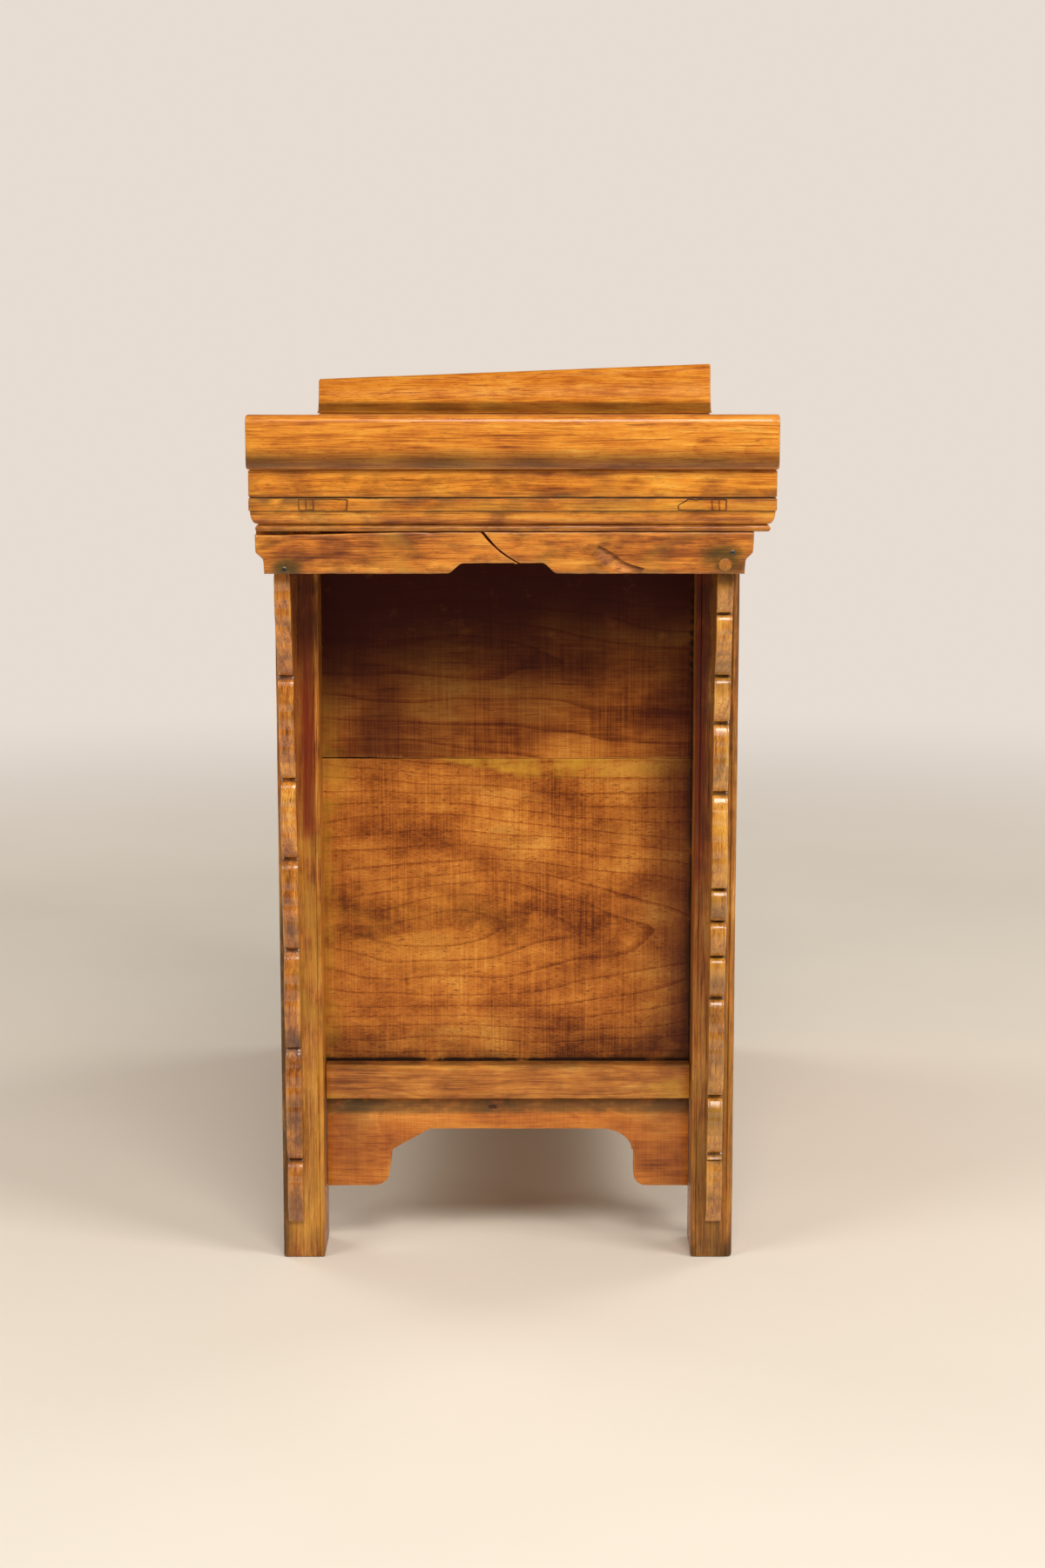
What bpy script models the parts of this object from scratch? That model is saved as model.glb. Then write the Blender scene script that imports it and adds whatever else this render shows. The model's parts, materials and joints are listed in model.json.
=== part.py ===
"""Altar cabinet with everted flanges: a joined top on recessed legs, with spandrels, two drawers and two doors.

Metres, +Z up. X runs along the cabinet, the front faces -Y, and the origin lies on the floor under the middle.
"""

import math

import bmesh
import bpy
from mathutils import Matrix, Vector

# Clearance between neighbouring pieces, and how far a cutter runs past the face it opens.
FIT = 0.0003
PAST = 0.010

# Overall sizes.
LENGTH = 1.120
FLANGE_SPAN = 0.520
TABLE_HEIGHT = 0.839

# Everted flanges. The right one rises towards the front by the slant and falls by as much at the back.
FLANGE_HEIGHT = 0.054
FLANGE_FOOT = 0.048
FLANGE_TIP = 0.019
FLANGE_TIP_ROUND = 0.009
FLANGE_UNDERCUT = 0.005
FLANGE_UNDERCUT_HEIGHT = 0.012
FLANGE_TOE = 0.002
LEFT_FLANGE_SLANT = 0.0
RIGHT_FLANGE_SLANT = 0.010
FLANGE_TONGUE = 0.010
FLANGE_TONGUE_SETBACK = 0.022
TONGUE_STOP = 0.040

# Top board between its cleats.
BOARD_THICKNESS = 0.027
BOARD_SETBACK = 0.0015
CLEAT_SETBACK = 0.008
CLEAT_WIDTH = 0.070
BOARD_TONGUE = 0.010
BOARD_TONGUE_THICKNESS = 0.009

# Moulded frame under the board, with through tenons on its long rails.
FRAME_THICKNESS = 0.034
LONG_RAIL_WIDTH = 0.105
END_RAIL_WIDTH = 0.085
MOULDING_FLAT = 0.015
MOULDING_ROUND = 0.0065
MOULDING_QUIRK = 0.001
MOULDING_BEAD = 0.003
MOULDING_BEAD_HEIGHT = 0.007
BACK_EDGE_ROUND = 0.0015
THROUGH_TENON_WIDTH = 0.047
THROUGH_TENON_HEIGHT = 0.015
THROUGH_TENON_INSET = 0.0065
THROUGH_TENON_DROP = 0.0025
BATTEN_WIDTH = 0.050
BATTEN_HEIGHT = 0.026
BATTEN_TENON = 0.014
BATTEN_TENON_WIDTH = 0.025
BATTEN_TENON_HEIGHT = 0.013

# Frieze boards.
FRIEZE_HEIGHT = 0.0415
FRIEZE_THICKNESS = 0.032
FRIEZE_FRONT_PROUD = 0.006
FRIEZE_BACK_PROUD = 0.011
FRIEZE_STEP_TOP = 0.0225
FRIEZE_STEP_BOTTOM = 0.0125
FRIEZE_STEP = 0.0075
FRIEZE_LEAN = 0.0008
END_FRIEZE_SETBACK = 0.015
END_FRIEZE_THICKNESS = 0.016
NOTCH_CENTRE = 0.010
NOTCH_TOP_WIDTH = 0.076
NOTCH_OGEE = 0.017
NOTCH_HEIGHT = 0.0105

# Legs.
LEG_OVERHANG = 0.120
LEG_WIDTH = 0.072
LEG_DEPTH = 0.044
FRONT_OVERHANG = 0.0285
BACK_OVERHANG = 0.017
LEG_BEAD = 0.006
LEG_BEAD_QUIRK = 0.001
LEG_ARRIS = 0.002
LEG_TENON = 0.022
LEG_TENON_THICKNESS = 0.010
LEG_TENON_INSET = 0.010

# Spandrels on the legs' end faces. Each pair is how far up the spandrel a notch lies, as a share of its own length,
# and how far the edge reaches from the leg there, as a share of its reach at the top. The edge swells between them.
SPANDREL_FOOT = 0.041
SPANDREL_THICKNESS = 0.0163
FRONT_SPANDREL_SETBACK = 0.0125
BACK_SPANDREL_SETBACK = 0.0063
SPANDREL_SWELL = 0.0055
SPANDREL_NOTCH = 0.003
FRONT_SPANDREL_NOTCHES = (
    (0.00, 0.08),
    (0.11, 0.15),
    (0.20, 0.18),
    (0.355, 0.24),
    (0.42, 0.34),
    (0.475, 0.39),
    (0.525, 0.47),
    (0.67, 0.45),
    (0.775, 0.53),
    (0.845, 0.63),
    (0.94, 0.88),
)
BACK_SPANDREL_NOTCHES = (
    (0.00, 0.08),
    (0.10, 0.14),
    (0.275, 0.21),
    (0.43, 0.30),
    (0.57, 0.39),
    (0.69, 0.47),
    (0.845, 0.65),
)

# Side panels, the rails under them, and all aprons.
PANEL_RECESS = 0.053
PANEL_THICKNESS = 0.014
PANEL_TONGUE = 0.005
RAIL_TOP = 0.204
RAIL_HEIGHT = 0.041
SIDE_RAIL_RECESS = 0.036
SIDE_RAIL_THICKNESS = 0.034
RAIL_TENON = 0.012
RAIL_TENON_THICKNESS = 0.012
RAIL_TENON_HEIGHT = 0.014
RAIL_TENON_MARGIN = 0.004
SIDE_TENON_MARGIN = 0.002
APRON_HEIGHT = 0.098
APRON_THICKNESS = 0.016
APRON_RECESS = 0.008
ARCH_RISE = 0.063
ARCH_FOOT = 0.046
ARCH_TOE = 0.013
ARCH_CUSP = 0.002
ARCH_SHOULDER = 0.034
ARCH_SHOULDER_HEIGHT = 0.023

# Back and inside boards.
BACK_PANEL_INSET = 0.0065
BACK_RAIL_THICKNESS = 0.030
FLOOR_THICKNESS = 0.015
DECK_THICKNESS = 0.014
REBATE = 0.006

# Front: rails, drawers above, doors below.
FRONT_RAIL_SETBACK = 0.004
FRONT_RAIL_DEPTH = 0.034
MIDDLE_RAIL_HEIGHT = 0.032
DRAWER_OPENING = 0.118
DIVIDER_WIDTH = 0.036
DIVIDER_DEPTH = 0.020
PARTITION_THICKNESS = 0.016
FRONT_SETBACK = 0.006

# Drawers.
DRAWER_GAP = 0.001
DRAWER_FRONT_THICKNESS = 0.020
DRAWER_BACK_GAP = 0.031
DRAWER_BOX_DROP = 0.012
DRAWER_BOX_INSET = 0.002
DRAWER_WALL = 0.010
DRAWER_DADO = 0.008
DRAWER_BOTTOM = 0.008
DRAWER_BOTTOM_RAISE = 0.008
DRAWER_GROOVE = 0.004

# Doors.
DOOR_THICKNESS = 0.022
DOOR_GAP = 0.001
DOOR_END_GAP = 0.002
STILE_WIDTH = 0.042
DOOR_RAIL_WIDTH = 0.042
DOOR_TENON = 0.015
DOOR_TENON_THICKNESS = 0.008
DOOR_TENON_MARGIN = 0.007
DOOR_PANEL_THICKNESS = 0.009
DOOR_GROOVE = 0.006
PIVOT_RADIUS = 0.005
PIVOT_SOCKET = 0.010

# Brass pulls. Posts and staples enter their plate by the sink.
PLATE_THICKNESS = 0.0014
PLATE_SINK = 0.0006
DRAWER_PLATE_LENGTH = 0.100
DRAWER_PLATE_HEIGHT = 0.046
PLATE_LOBE = 0.004
POST_SPACING = 0.064
POST_RADIUS = 0.0045
POST_LENGTH = 0.013
POST_EYE = 0.0088
BAIL_RADIUS = 0.002
BAIL_DROP = 0.034
BAIL_CORNER = 0.005
BAIL_PIN = 0.0065
BAIL_SIDE = 0.008
DOOR_PLATE_RADIUS = 0.046
DOOR_PLATE_EDGE_GAP = 0.0015
STAPLE_INSET = 0.022
STAPLE_RADIUS = 0.0045
STAPLE_WIRE = 0.0015
DROP_RING_RADIUS = 0.005
DROP_RING_WIRE = 0.0015
DROP_LENGTH = 0.050
DROP_WIDTH = 0.017
DROP_THICKNESS = 0.0026

# Facets of a round stretch, of a full circle and of a wire, and the angle past which an edge stays sharp.
ARC_STEPS = 6
ROUND_STEPS = 20
WIRE_STEPS = 8
SHARP_ANGLE = math.radians(40)

# Points of a drawn outline that lie closer than this are one point.
WELD = 0.000001

# Finishes: colour, roughness and metallic value.
TOP_WOOD = ((0.38, 0.125, 0.022), 0.30, 0.0)
CARCASE_WOOD = ((0.34, 0.105, 0.018), 0.32, 0.0)
PANEL_WOOD = ((0.26, 0.070, 0.012), 0.34, 0.0)
INNER_WOOD = ((0.40, 0.22, 0.09), 0.65, 0.0)
BRASS = ((0.52, 0.36, 0.12), 0.35, 1.0)

# Levels and faces that follow from the sizes above.
BOARD_BOTTOM = TABLE_HEIGHT - BOARD_THICKNESS
FRAME_TOP = BOARD_BOTTOM - FIT
FRAME_BOTTOM = BOARD_BOTTOM - FRAME_THICKNESS
FRIEZE_TOP = FRAME_BOTTOM - FIT
FRIEZE_BOTTOM = FRIEZE_TOP - FRIEZE_HEIGHT
DECK_TOP = FRIEZE_BOTTOM - DRAWER_OPENING
MIDDLE_RAIL_BOTTOM = DECK_TOP - MIDDLE_RAIL_HEIGHT
RAIL_BOTTOM = RAIL_TOP - RAIL_HEIGHT
APRON_TOP = RAIL_BOTTOM - FIT
APRON_BOTTOM = APRON_TOP - APRON_HEIGHT
FLANGE_END = LENGTH / 2
END_FACE = FLANGE_END - CLEAT_SETBACK
CLEAT_INNER = END_FACE - CLEAT_WIDTH
BOARD_HALF = FLANGE_SPAN / 2 - BOARD_SETBACK
LEG_END = FLANGE_END - LEG_OVERHANG
LEG_INNER = LEG_END - LEG_WIDTH
FRONT_FACE = -FLANGE_SPAN / 2 + FRONT_OVERHANG
BACK_FACE = FLANGE_SPAN / 2 - BACK_OVERHANG
FRONT_LEG_INNER = FRONT_FACE + LEG_DEPTH
BACK_LEG_INNER = BACK_FACE - LEG_DEPTH
END_FRIEZE_OUTER = FLANGE_END - END_FRIEZE_SETBACK
END_FRIEZE_INNER = END_FRIEZE_OUTER - END_FRIEZE_THICKNESS
FRIEZE_FRONT = FRONT_FACE - FRIEZE_FRONT_PROUD
FRIEZE_BACK = BACK_FACE + FRIEZE_BACK_PROUD
PANEL_OUTER = LEG_END - PANEL_RECESS
PANEL_INNER = PANEL_OUTER - PANEL_THICKNESS
SIDE_RAIL_OUTER = LEG_END - SIDE_RAIL_RECESS
SIDE_RAIL_INNER = SIDE_RAIL_OUTER - SIDE_RAIL_THICKNESS
BACK_PANEL_FRONT = BACK_LEG_INNER + BACK_PANEL_INSET
BACK_PANEL_REAR = BACK_PANEL_FRONT + PANEL_THICKNESS
BACK_RAIL_FRONT = BACK_LEG_INNER + FIT
BACK_RAIL_REAR = BACK_RAIL_FRONT + BACK_RAIL_THICKNESS
RAIL_FRONT = FRONT_FACE + FRONT_RAIL_SETBACK
RAIL_REAR = RAIL_FRONT + FRONT_RAIL_DEPTH
BOARD_SEAT = RAIL_REAR - REBATE
FLOOR_REAR = BACK_PANEL_FRONT - FIT
FRONT_PLANE = FRONT_FACE + FRONT_SETBACK
DRAWER_DEPTH = BACK_PANEL_FRONT - DRAWER_BACK_GAP - FRONT_PLANE
DOOR_MIDDLE = FRONT_PLANE + DOOR_THICKNESS / 2
PIVOT_X = LEG_INNER - DOOR_GAP - DOOR_THICKNESS / 2
DOOR_LOW = RAIL_TOP + DOOR_END_GAP
DOOR_HIGH = MIDDLE_RAIL_BOTTOM - DOOR_END_GAP
LEFT, RIGHT = -1, 1
FRONT, BACK = -1, 1
SIDE_NAMES = {LEFT: "left", RIGHT: "right"}
FACE_NAMES = {FRONT: "front", BACK: "back"}
LEG_FACE = {FRONT: FRONT_FACE, BACK: BACK_FACE}
LEG_INNER_FACE = {FRONT: FRONT_LEG_INNER, BACK: BACK_LEG_INNER}
FRIEZE_FACE = {FRONT: FRIEZE_FRONT, BACK: FRIEZE_BACK}

# Planes that an outline is drawn in: each gives the world directions of the outline's two axes and of its depth.
PLAN = Matrix(((1, 0, 0), (0, 1, 0), (0, 0, 1)))
FRONT_VIEW = Matrix(((1, 0, 0), (0, 0, -1), (0, 1, 0)))
END_VIEW = Matrix(((0, 0, 1), (1, 0, 0), (0, 1, 0)))


def clear_scene():
    for obj in list(bpy.data.objects):
        bpy.data.objects.remove(obj)


def new_collection(name):
    found = bpy.data.collections.new(name)
    bpy.context.scene.collection.children.link(found)
    return found


clear_scene()
PARTS = new_collection("altar_cabinet")
CUTTERS = new_collection("cutters")


def finish(piece, look):
    """Gives a piece a material of its own."""
    colour, roughness, metallic = look
    material = bpy.data.materials.new(f"{piece.name}_finish")
    material.use_nodes = True
    shader = material.node_tree.nodes["Principled BSDF"]
    shader.inputs["Base Color"].default_value = (*colour, 1.0)
    shader.inputs["Roughness"].default_value = roughness
    shader.inputs["Metallic"].default_value = metallic
    piece.data.materials.clear()
    piece.data.materials.append(material)


def object_from(name, mesh, look, matrix):
    """A part if it has a look, and otherwise a tool for a Boolean."""
    piece = bpy.data.objects.new(name, mesh)
    piece.matrix_world = matrix
    if look is None:
        CUTTERS.objects.link(piece)
        piece.hide_render = True
        piece.display_type = "WIRE"
    else:
        PARTS.objects.link(piece)
        finish(piece, look)
    return piece


def mesh_from(name, shape):
    mesh = bpy.data.meshes.new(name)
    shape.to_mesh(mesh)
    shape.free()
    return mesh


def block(name, corner, opposite, look=None):
    """A box between two corners, in any order, with its origin at its middle."""
    low = Vector(map(min, corner, opposite))
    high = Vector(map(max, corner, opposite))
    shape = bmesh.new()
    bmesh.ops.create_cube(shape, size=1.0, matrix=Matrix.Diagonal((*(high - low), 1.0)))
    return object_from(name, mesh_from(name, shape), look, Matrix.Translation((low + high) / 2))


def rod(name, start, end, radius, look=None, steps=ROUND_STEPS):
    """A cylinder from one point to another."""
    start, end = Vector(start), Vector(end)
    along = end - start
    shape = bmesh.new()
    bmesh.ops.create_cone(
        shape, cap_ends=True, segments=steps, radius1=radius, radius2=radius, depth=along.length
    )
    turn = along.to_track_quat("Z", "Y").to_matrix().to_4x4()
    piece = object_from(name, mesh_from(name, shape), look, Matrix.Translation((start + end) / 2) @ turn)
    piece.data.shade_smooth()
    piece.data.set_sharp_from_angle(angle=SHARP_ANGLE)
    return piece


def ring(name, centre, axis, radius, wire):
    """A round wire ring about an axis, as a tool to be joined to a piece."""
    turn = Vector(axis).to_track_quat("Z", "Y").to_euler()
    bpy.ops.mesh.primitive_torus_add(
        major_segments=ROUND_STEPS,
        minor_segments=WIRE_STEPS,
        major_radius=radius,
        minor_radius=wire,
        location=centre,
        rotation=turn,
    )
    made = bpy.context.object
    bpy.context.view_layer.update()
    mesh, matrix = made.data, made.matrix_world.copy()
    bpy.data.objects.remove(made)
    return object_from(name, mesh, None, matrix)


def outline(name, points, depth, plane, place, look=None):
    """A closed flat outline, given depth on both sides of a place on the outline's third axis."""
    curve = bpy.data.curves.new(name, "CURVE")
    curve.dimensions = "2D"
    curve.fill_mode = "BOTH"
    curve.extrude = depth / 2
    spline = curve.splines.new("POLY")
    spline.points.add(len(points) - 1)
    for point, (across, up) in zip(spline.points, points):
        point.co = (across, up, 0.0, 1.0)
    spline.use_cyclic_u = True
    drawn = bpy.data.objects.new(name, curve)
    bpy.context.scene.collection.objects.link(drawn)
    bpy.context.view_layer.update()
    mesh = bpy.data.meshes.new_from_object(drawn.evaluated_get(bpy.context.evaluated_depsgraph_get()))
    bpy.data.objects.remove(drawn)
    shape = bmesh.new()
    shape.from_mesh(mesh)
    bmesh.ops.remove_doubles(shape, verts=shape.verts, dist=WELD)
    bmesh.ops.recalc_face_normals(shape, faces=shape.faces)
    bpy.data.meshes.remove(mesh)
    matrix = Matrix.Translation(plane.col[2] * place) @ plane.to_4x4()
    return object_from(name, mesh_from(name, shape), look, matrix)


def boolean(piece, tool, operation):
    modifier = piece.modifiers.new(f"{operation.lower()} {tool.name}", "BOOLEAN")
    modifier.operation = operation
    modifier.solver = "EXACT"
    modifier.object = tool


def cut(piece, tool):
    boolean(piece, tool, "DIFFERENCE")


def join(piece, tool):
    boolean(piece, tool, "UNION")


def cut_block(piece, label, corner, opposite):
    cut(piece, block(f"{piece.name} {label}", corner, opposite))


def join_block(piece, label, corner, opposite):
    join(piece, block(f"{piece.name} {label}", corner, opposite))


def arc(centre, across, up, start, end, steps=ARC_STEPS):
    """Points on an ellipse between two angles in degrees."""
    turns = [math.radians(start + (end - start) * step / steps) for step in range(steps + 1)]
    return [(centre[0] + across * math.cos(t), centre[1] + up * math.sin(t)) for t in turns]


def ogee(start, end, steps=ARC_STEPS):
    """Points of an S-curve that leaves and arrives along the second axis."""
    shares = [step / steps for step in range(steps + 1)]
    return [
        (
            start[0] + (end[0] - start[0]) * (1 - math.cos(math.pi * share)) / 2,
            start[1] + (end[1] - start[1]) * share,
        )
        for share in shares
    ]


def mirrored(points):
    return [(-across, up) for across, up in reversed(points)]


def carrier(name, place):
    """An empty on a joint's axis, which carries the pieces that move together."""
    empty = bpy.data.objects.new(name, None)
    empty.location = place
    PARTS.objects.link(empty)
    return empty


def carry(empty, pieces):
    for piece in pieces:
        piece.parent = empty
        piece.matrix_parent_inverse = Matrix.Translation(empty.location).inverted()


# The top


def flange_outline(side):
    """The flange's section: rounded under, upright outside, round at the tip and swept hollow inside."""
    shoulder = TABLE_HEIGHT + FLANGE_HEIGHT - FLANGE_TIP_ROUND
    base = TABLE_HEIGHT + FIT
    under = (FLANGE_END - FLANGE_UNDERCUT, base + FLANGE_UNDERCUT_HEIGHT)
    tip = (FLANGE_END - FLANGE_TIP / 2, shoulder)
    sweep = (FLANGE_END - FLANGE_FOOT, shoulder)
    sweep_drop = shoulder - base - FLANGE_TOE
    points = arc(under, FLANGE_UNDERCUT, FLANGE_UNDERCUT_HEIGHT, -90, 0)
    points += arc(tip, FLANGE_TIP / 2, FLANGE_TIP_ROUND, 0, 180, 2 * ARC_STEPS)
    points += arc(sweep, FLANGE_FOOT - FLANGE_TIP, sweep_drop, 0, -90, 2 * ARC_STEPS)[1:]
    points.append((FLANGE_END - FLANGE_FOOT, base))
    return points if side == RIGHT else mirrored(points)


def slant_flange(flange, slant):
    """Runs the flange's top up towards the front and down towards the back."""
    for vertex in flange.data.vertices:
        place = flange.matrix_world @ vertex.co
        share = (place.z - TABLE_HEIGHT) / FLANGE_HEIGHT
        vertex.co.y += slant * share * -place.y / (FLANGE_SPAN / 2)


def flange_tongue(side, gap):
    outer = FLANGE_END - FLANGE_TONGUE_SETBACK + gap
    inner = FLANGE_END - FLANGE_TONGUE_SETBACK - FLANGE_TONGUE - gap
    reach = FLANGE_SPAN / 2 - TONGUE_STOP + gap
    low = TABLE_HEIGHT - FLANGE_TONGUE - gap
    return (side * outer, -reach, low), (side * inner, reach, TABLE_HEIGHT + PAST)


def flanges():
    for side, slant in ((LEFT, LEFT_FLANGE_SLANT), (RIGHT, RIGHT_FLANGE_SLANT)):
        name = f"flange_{SIDE_NAMES[side]}"
        flange = outline(name, flange_outline(side), FLANGE_SPAN, FRONT_VIEW, 0.0, TOP_WOOD)
        slant_flange(flange, slant)
        corner, opposite = flange_tongue(side, 0.0)
        join_block(flange, "tongue", corner, opposite)


def board_tongue(gap):
    middle = TABLE_HEIGHT - BOARD_THICKNESS / 2
    half = BOARD_TONGUE_THICKNESS / 2 + gap
    return BOARD_HALF - TONGUE_STOP + gap, middle - half, middle + half


def top_board():
    end = CLEAT_INNER - FIT
    board = block("top_board", (-end, -BOARD_HALF, BOARD_BOTTOM), (end, BOARD_HALF, TABLE_HEIGHT), TOP_WOOD)
    reach, low, high = board_tongue(0.0)
    tip = CLEAT_INNER + BOARD_TONGUE
    for side in (LEFT, RIGHT):
        join_block(board, SIDE_NAMES[side], (side * (end - PAST), -reach, low), (side * tip, reach, high))


def cleats():
    for side in (LEFT, RIGHT):
        cleat = block(
            f"cleat_{SIDE_NAMES[side]}",
            (side * CLEAT_INNER, -BOARD_HALF, BOARD_BOTTOM),
            (side * END_FACE, BOARD_HALF, TABLE_HEIGHT),
            TOP_WOOD,
        )
        reach, low, high = board_tongue(FIT)
        tip = CLEAT_INNER + BOARD_TONGUE + FIT
        cut_block(cleat, "groove", (side * (CLEAT_INNER - PAST), -reach, low), (side * tip, reach, high))
        corner, opposite = flange_tongue(side, FIT)
        cut_block(cleat, "seat", corner, opposite)


def moulded_edge(width):
    """A rail's section, inner edge at zero: upright, then rounded under to a bead at the bottom."""
    under = width - MOULDING_ROUND
    round_low = MOULDING_BEAD_HEIGHT
    round_high = FRAME_THICKNESS - MOULDING_FLAT
    bead = (under - MOULDING_QUIRK - MOULDING_BEAD, round_low)
    points = [(0.0, FRAME_THICKNESS - FIT), (0.0, 0.0)]
    points += list(reversed(arc(bead, MOULDING_BEAD, -MOULDING_BEAD_HEIGHT, 0, 90)))
    points += list(reversed(arc((under, round_high), MOULDING_ROUND, round_low - round_high, 0, 90)))
    points.append((width, FRAME_THICKNESS - FIT))
    return points


def plain_edge(width):
    """The back rail's section, with only a small round at the bottom."""
    bottom = arc((width - BACK_EDGE_ROUND, BACK_EDGE_ROUND), BACK_EDGE_ROUND, BACK_EDGE_ROUND, -90, 0)
    return [(0.0, FRAME_THICKNESS - FIT), (0.0, 0.0), *bottom, (width, FRAME_THICKNESS - FIT)]


def mitre(piece, side, face, keep_long):
    """Cuts a rail's end along the line from the frame's outer corner to its inner one."""
    outer = Vector((END_FACE, BOARD_HALF))
    inner = Vector((END_FACE - END_RAIL_WIDTH, BOARD_HALF - LONG_RAIL_WIDTH))
    along = (outer - inner).normalized()
    across = Vector((along.y, -along.x)) if keep_long else Vector((-along.y, along.x))
    start = inner - along * END_RAIL_WIDTH - across * FIT / 2
    end = outer + along * END_RAIL_WIDTH - across * FIT / 2
    far = across * (LONG_RAIL_WIDTH + END_RAIL_WIDTH)
    points = [(side * p.x, face * p.y) for p in (start, end, end + far, start + far)]
    depth = FRAME_THICKNESS + 2 * PAST
    tool = outline(f"{piece.name} mitre {side} {face}", points, depth, PLAN, FRAME_BOTTOM + FRAME_THICKNESS / 2)
    cut(piece, tool)


def through_tenon(side, face, gap):
    near = BOARD_HALF - LONG_RAIL_WIDTH + THROUGH_TENON_INSET
    top = FRAME_TOP - THROUGH_TENON_DROP
    start = END_FACE - END_RAIL_WIDTH - PAST
    return (
        (side * start, face * (near - gap), top - THROUGH_TENON_HEIGHT - gap),
        (side * (END_FACE + (PAST if gap else 0.0)), face * (near + THROUGH_TENON_WIDTH + gap), top + gap),
    )


def leg_tenon(side, face, gap):
    """The tenon on a leg's top, which enters the frame's long rail."""
    inner = LEG_INNER_FACE[face]
    outer = FRIEZE_FACE[face] - face * FRIEZE_THICKNESS
    middle = (inner + outer) / 2
    half = LEG_TENON_THICKNESS / 2 + gap
    return (
        (side * (PANEL_OUTER + LEG_TENON_INSET - gap), middle - half, FRAME_BOTTOM - PAST),
        (side * (LEG_END - LEG_TENON_INSET + gap), middle + half, FRAME_BOTTOM + LEG_TENON + gap),
    )


def batten_tenon(face, gap):
    start = BOARD_HALF - LONG_RAIL_WIDTH
    half = BATTEN_TENON_WIDTH / 2 + gap
    middle = FRAME_TOP - BATTEN_HEIGHT / 2
    rise = BATTEN_TENON_HEIGHT / 2 + gap
    end = face * (start + BATTEN_TENON + gap)
    return (-half, face * (start - PAST), middle - rise), (half, end, middle + rise)


def long_rails():
    for face, section in ((FRONT, moulded_edge), (BACK, plain_edge)):
        inner = BOARD_HALF - LONG_RAIL_WIDTH
        points = [(face * (inner + out), FRAME_BOTTOM + up) for out, up in section(LONG_RAIL_WIDTH)]
        rail = outline(f"frame_{FACE_NAMES[face]}_rail", points, 2 * END_FACE, END_VIEW, 0.0, TOP_WOOD)
        for side in (LEFT, RIGHT):
            mitre(rail, side, face, keep_long=True)
            corner, opposite = through_tenon(side, face, 0.0)
            join_block(rail, f"tenon {side}", corner, opposite)
            corner, opposite = leg_tenon(side, face, FIT)
            cut_block(rail, f"leg {side}", corner, opposite)
        corner, opposite = batten_tenon(face, FIT)
        cut_block(rail, "batten", corner, opposite)


def end_rails():
    for side in (LEFT, RIGHT):
        inner = END_FACE - END_RAIL_WIDTH
        points = [(side * (inner + out), FRAME_BOTTOM + up) for out, up in moulded_edge(END_RAIL_WIDTH)]
        name = f"frame_{SIDE_NAMES[side]}_rail"
        rail = outline(name, points, 2 * BOARD_HALF, FRONT_VIEW, 0.0, TOP_WOOD)
        for face in (FRONT, BACK):
            mitre(rail, side, face, keep_long=False)
            corner, opposite = through_tenon(side, face, FIT)
            cut_block(rail, f"mortise {face}", corner, opposite)


def top_batten():
    end = BOARD_HALF - LONG_RAIL_WIDTH - FIT
    low = FRAME_TOP - BATTEN_HEIGHT
    half = BATTEN_WIDTH / 2
    batten = block("top_batten", (-half, -end, low), (half, end, FRAME_TOP), INNER_WOOD)
    for face in (FRONT, BACK):
        corner, opposite = batten_tenon(face, 0.0)
        join_block(batten, FACE_NAMES[face], corner, opposite)


# The frieze


def frieze_edge():
    """The moulded face from top to bottom: how far it lies inside the top edge, and its height."""
    step_end = FRIEZE_LEAN + FRIEZE_STEP
    edge = [(0.0, FRIEZE_HEIGHT)]
    edge += ogee((FRIEZE_LEAN, FRIEZE_STEP_TOP), (step_end, FRIEZE_STEP_BOTTOM))
    edge.append((step_end + FRIEZE_LEAN, 0.0))
    return edge


def long_friezes():
    for face in (FRONT, BACK):
        top = FRIEZE_FACE[face]
        inner = top - face * FRIEZE_THICKNESS
        points = [(top - face * inside, FRIEZE_BOTTOM + up) for inside, up in frieze_edge()]
        points += [(inner, FRIEZE_BOTTOM), (inner, FRIEZE_TOP)]
        length = 2 * (END_FRIEZE_INNER - FIT)
        outline(f"frieze_{FACE_NAMES[face]}", points, length, END_VIEW, 0.0, TOP_WOOD)


def end_notch():
    """The shallow notch in an end board's lower edge, from front to back."""
    half = NOTCH_TOP_WIDTH / 2
    rise = [(up, out) for out, up in ogee((0.0, -half - NOTCH_OGEE), (NOTCH_HEIGHT, -half))]
    return [(NOTCH_CENTRE + along, FRIEZE_BOTTOM + up) for along, up in rise + mirrored(rise)]


def end_friezes():
    front = [(FRIEZE_FRONT + inside, FRIEZE_BOTTOM + up) for inside, up in frieze_edge()]
    back = [(FRIEZE_BACK - inside, FRIEZE_BOTTOM + up) for inside, up in frieze_edge()]
    points = front + end_notch() + list(reversed(back))
    for side in (LEFT, RIGHT):
        place = side * (END_FRIEZE_OUTER + END_FRIEZE_INNER) / 2
        outline(f"frieze_{SIDE_NAMES[side]}", points, END_FRIEZE_THICKNESS, END_VIEW, place, TOP_WOOD)


# Legs and spandrels


def beaded_corner(across, along):
    """A corner with a round bead between two quirks, drawn from the first face to the second."""
    back = LEG_BEAD + LEG_BEAD_QUIRK
    bead = arc((LEG_BEAD, LEG_BEAD), -LEG_BEAD, -LEG_BEAD, 0, 90)
    points = [(LEG_BEAD_QUIRK, back), *bead, (back, LEG_BEAD_QUIRK)]
    points = [(0.0, back + LEG_BEAD_QUIRK), *points, (back + LEG_BEAD_QUIRK, 0.0)]
    return [(across[0] + across[1] * a, along[0] + along[1] * b) for a, b in points]


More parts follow.
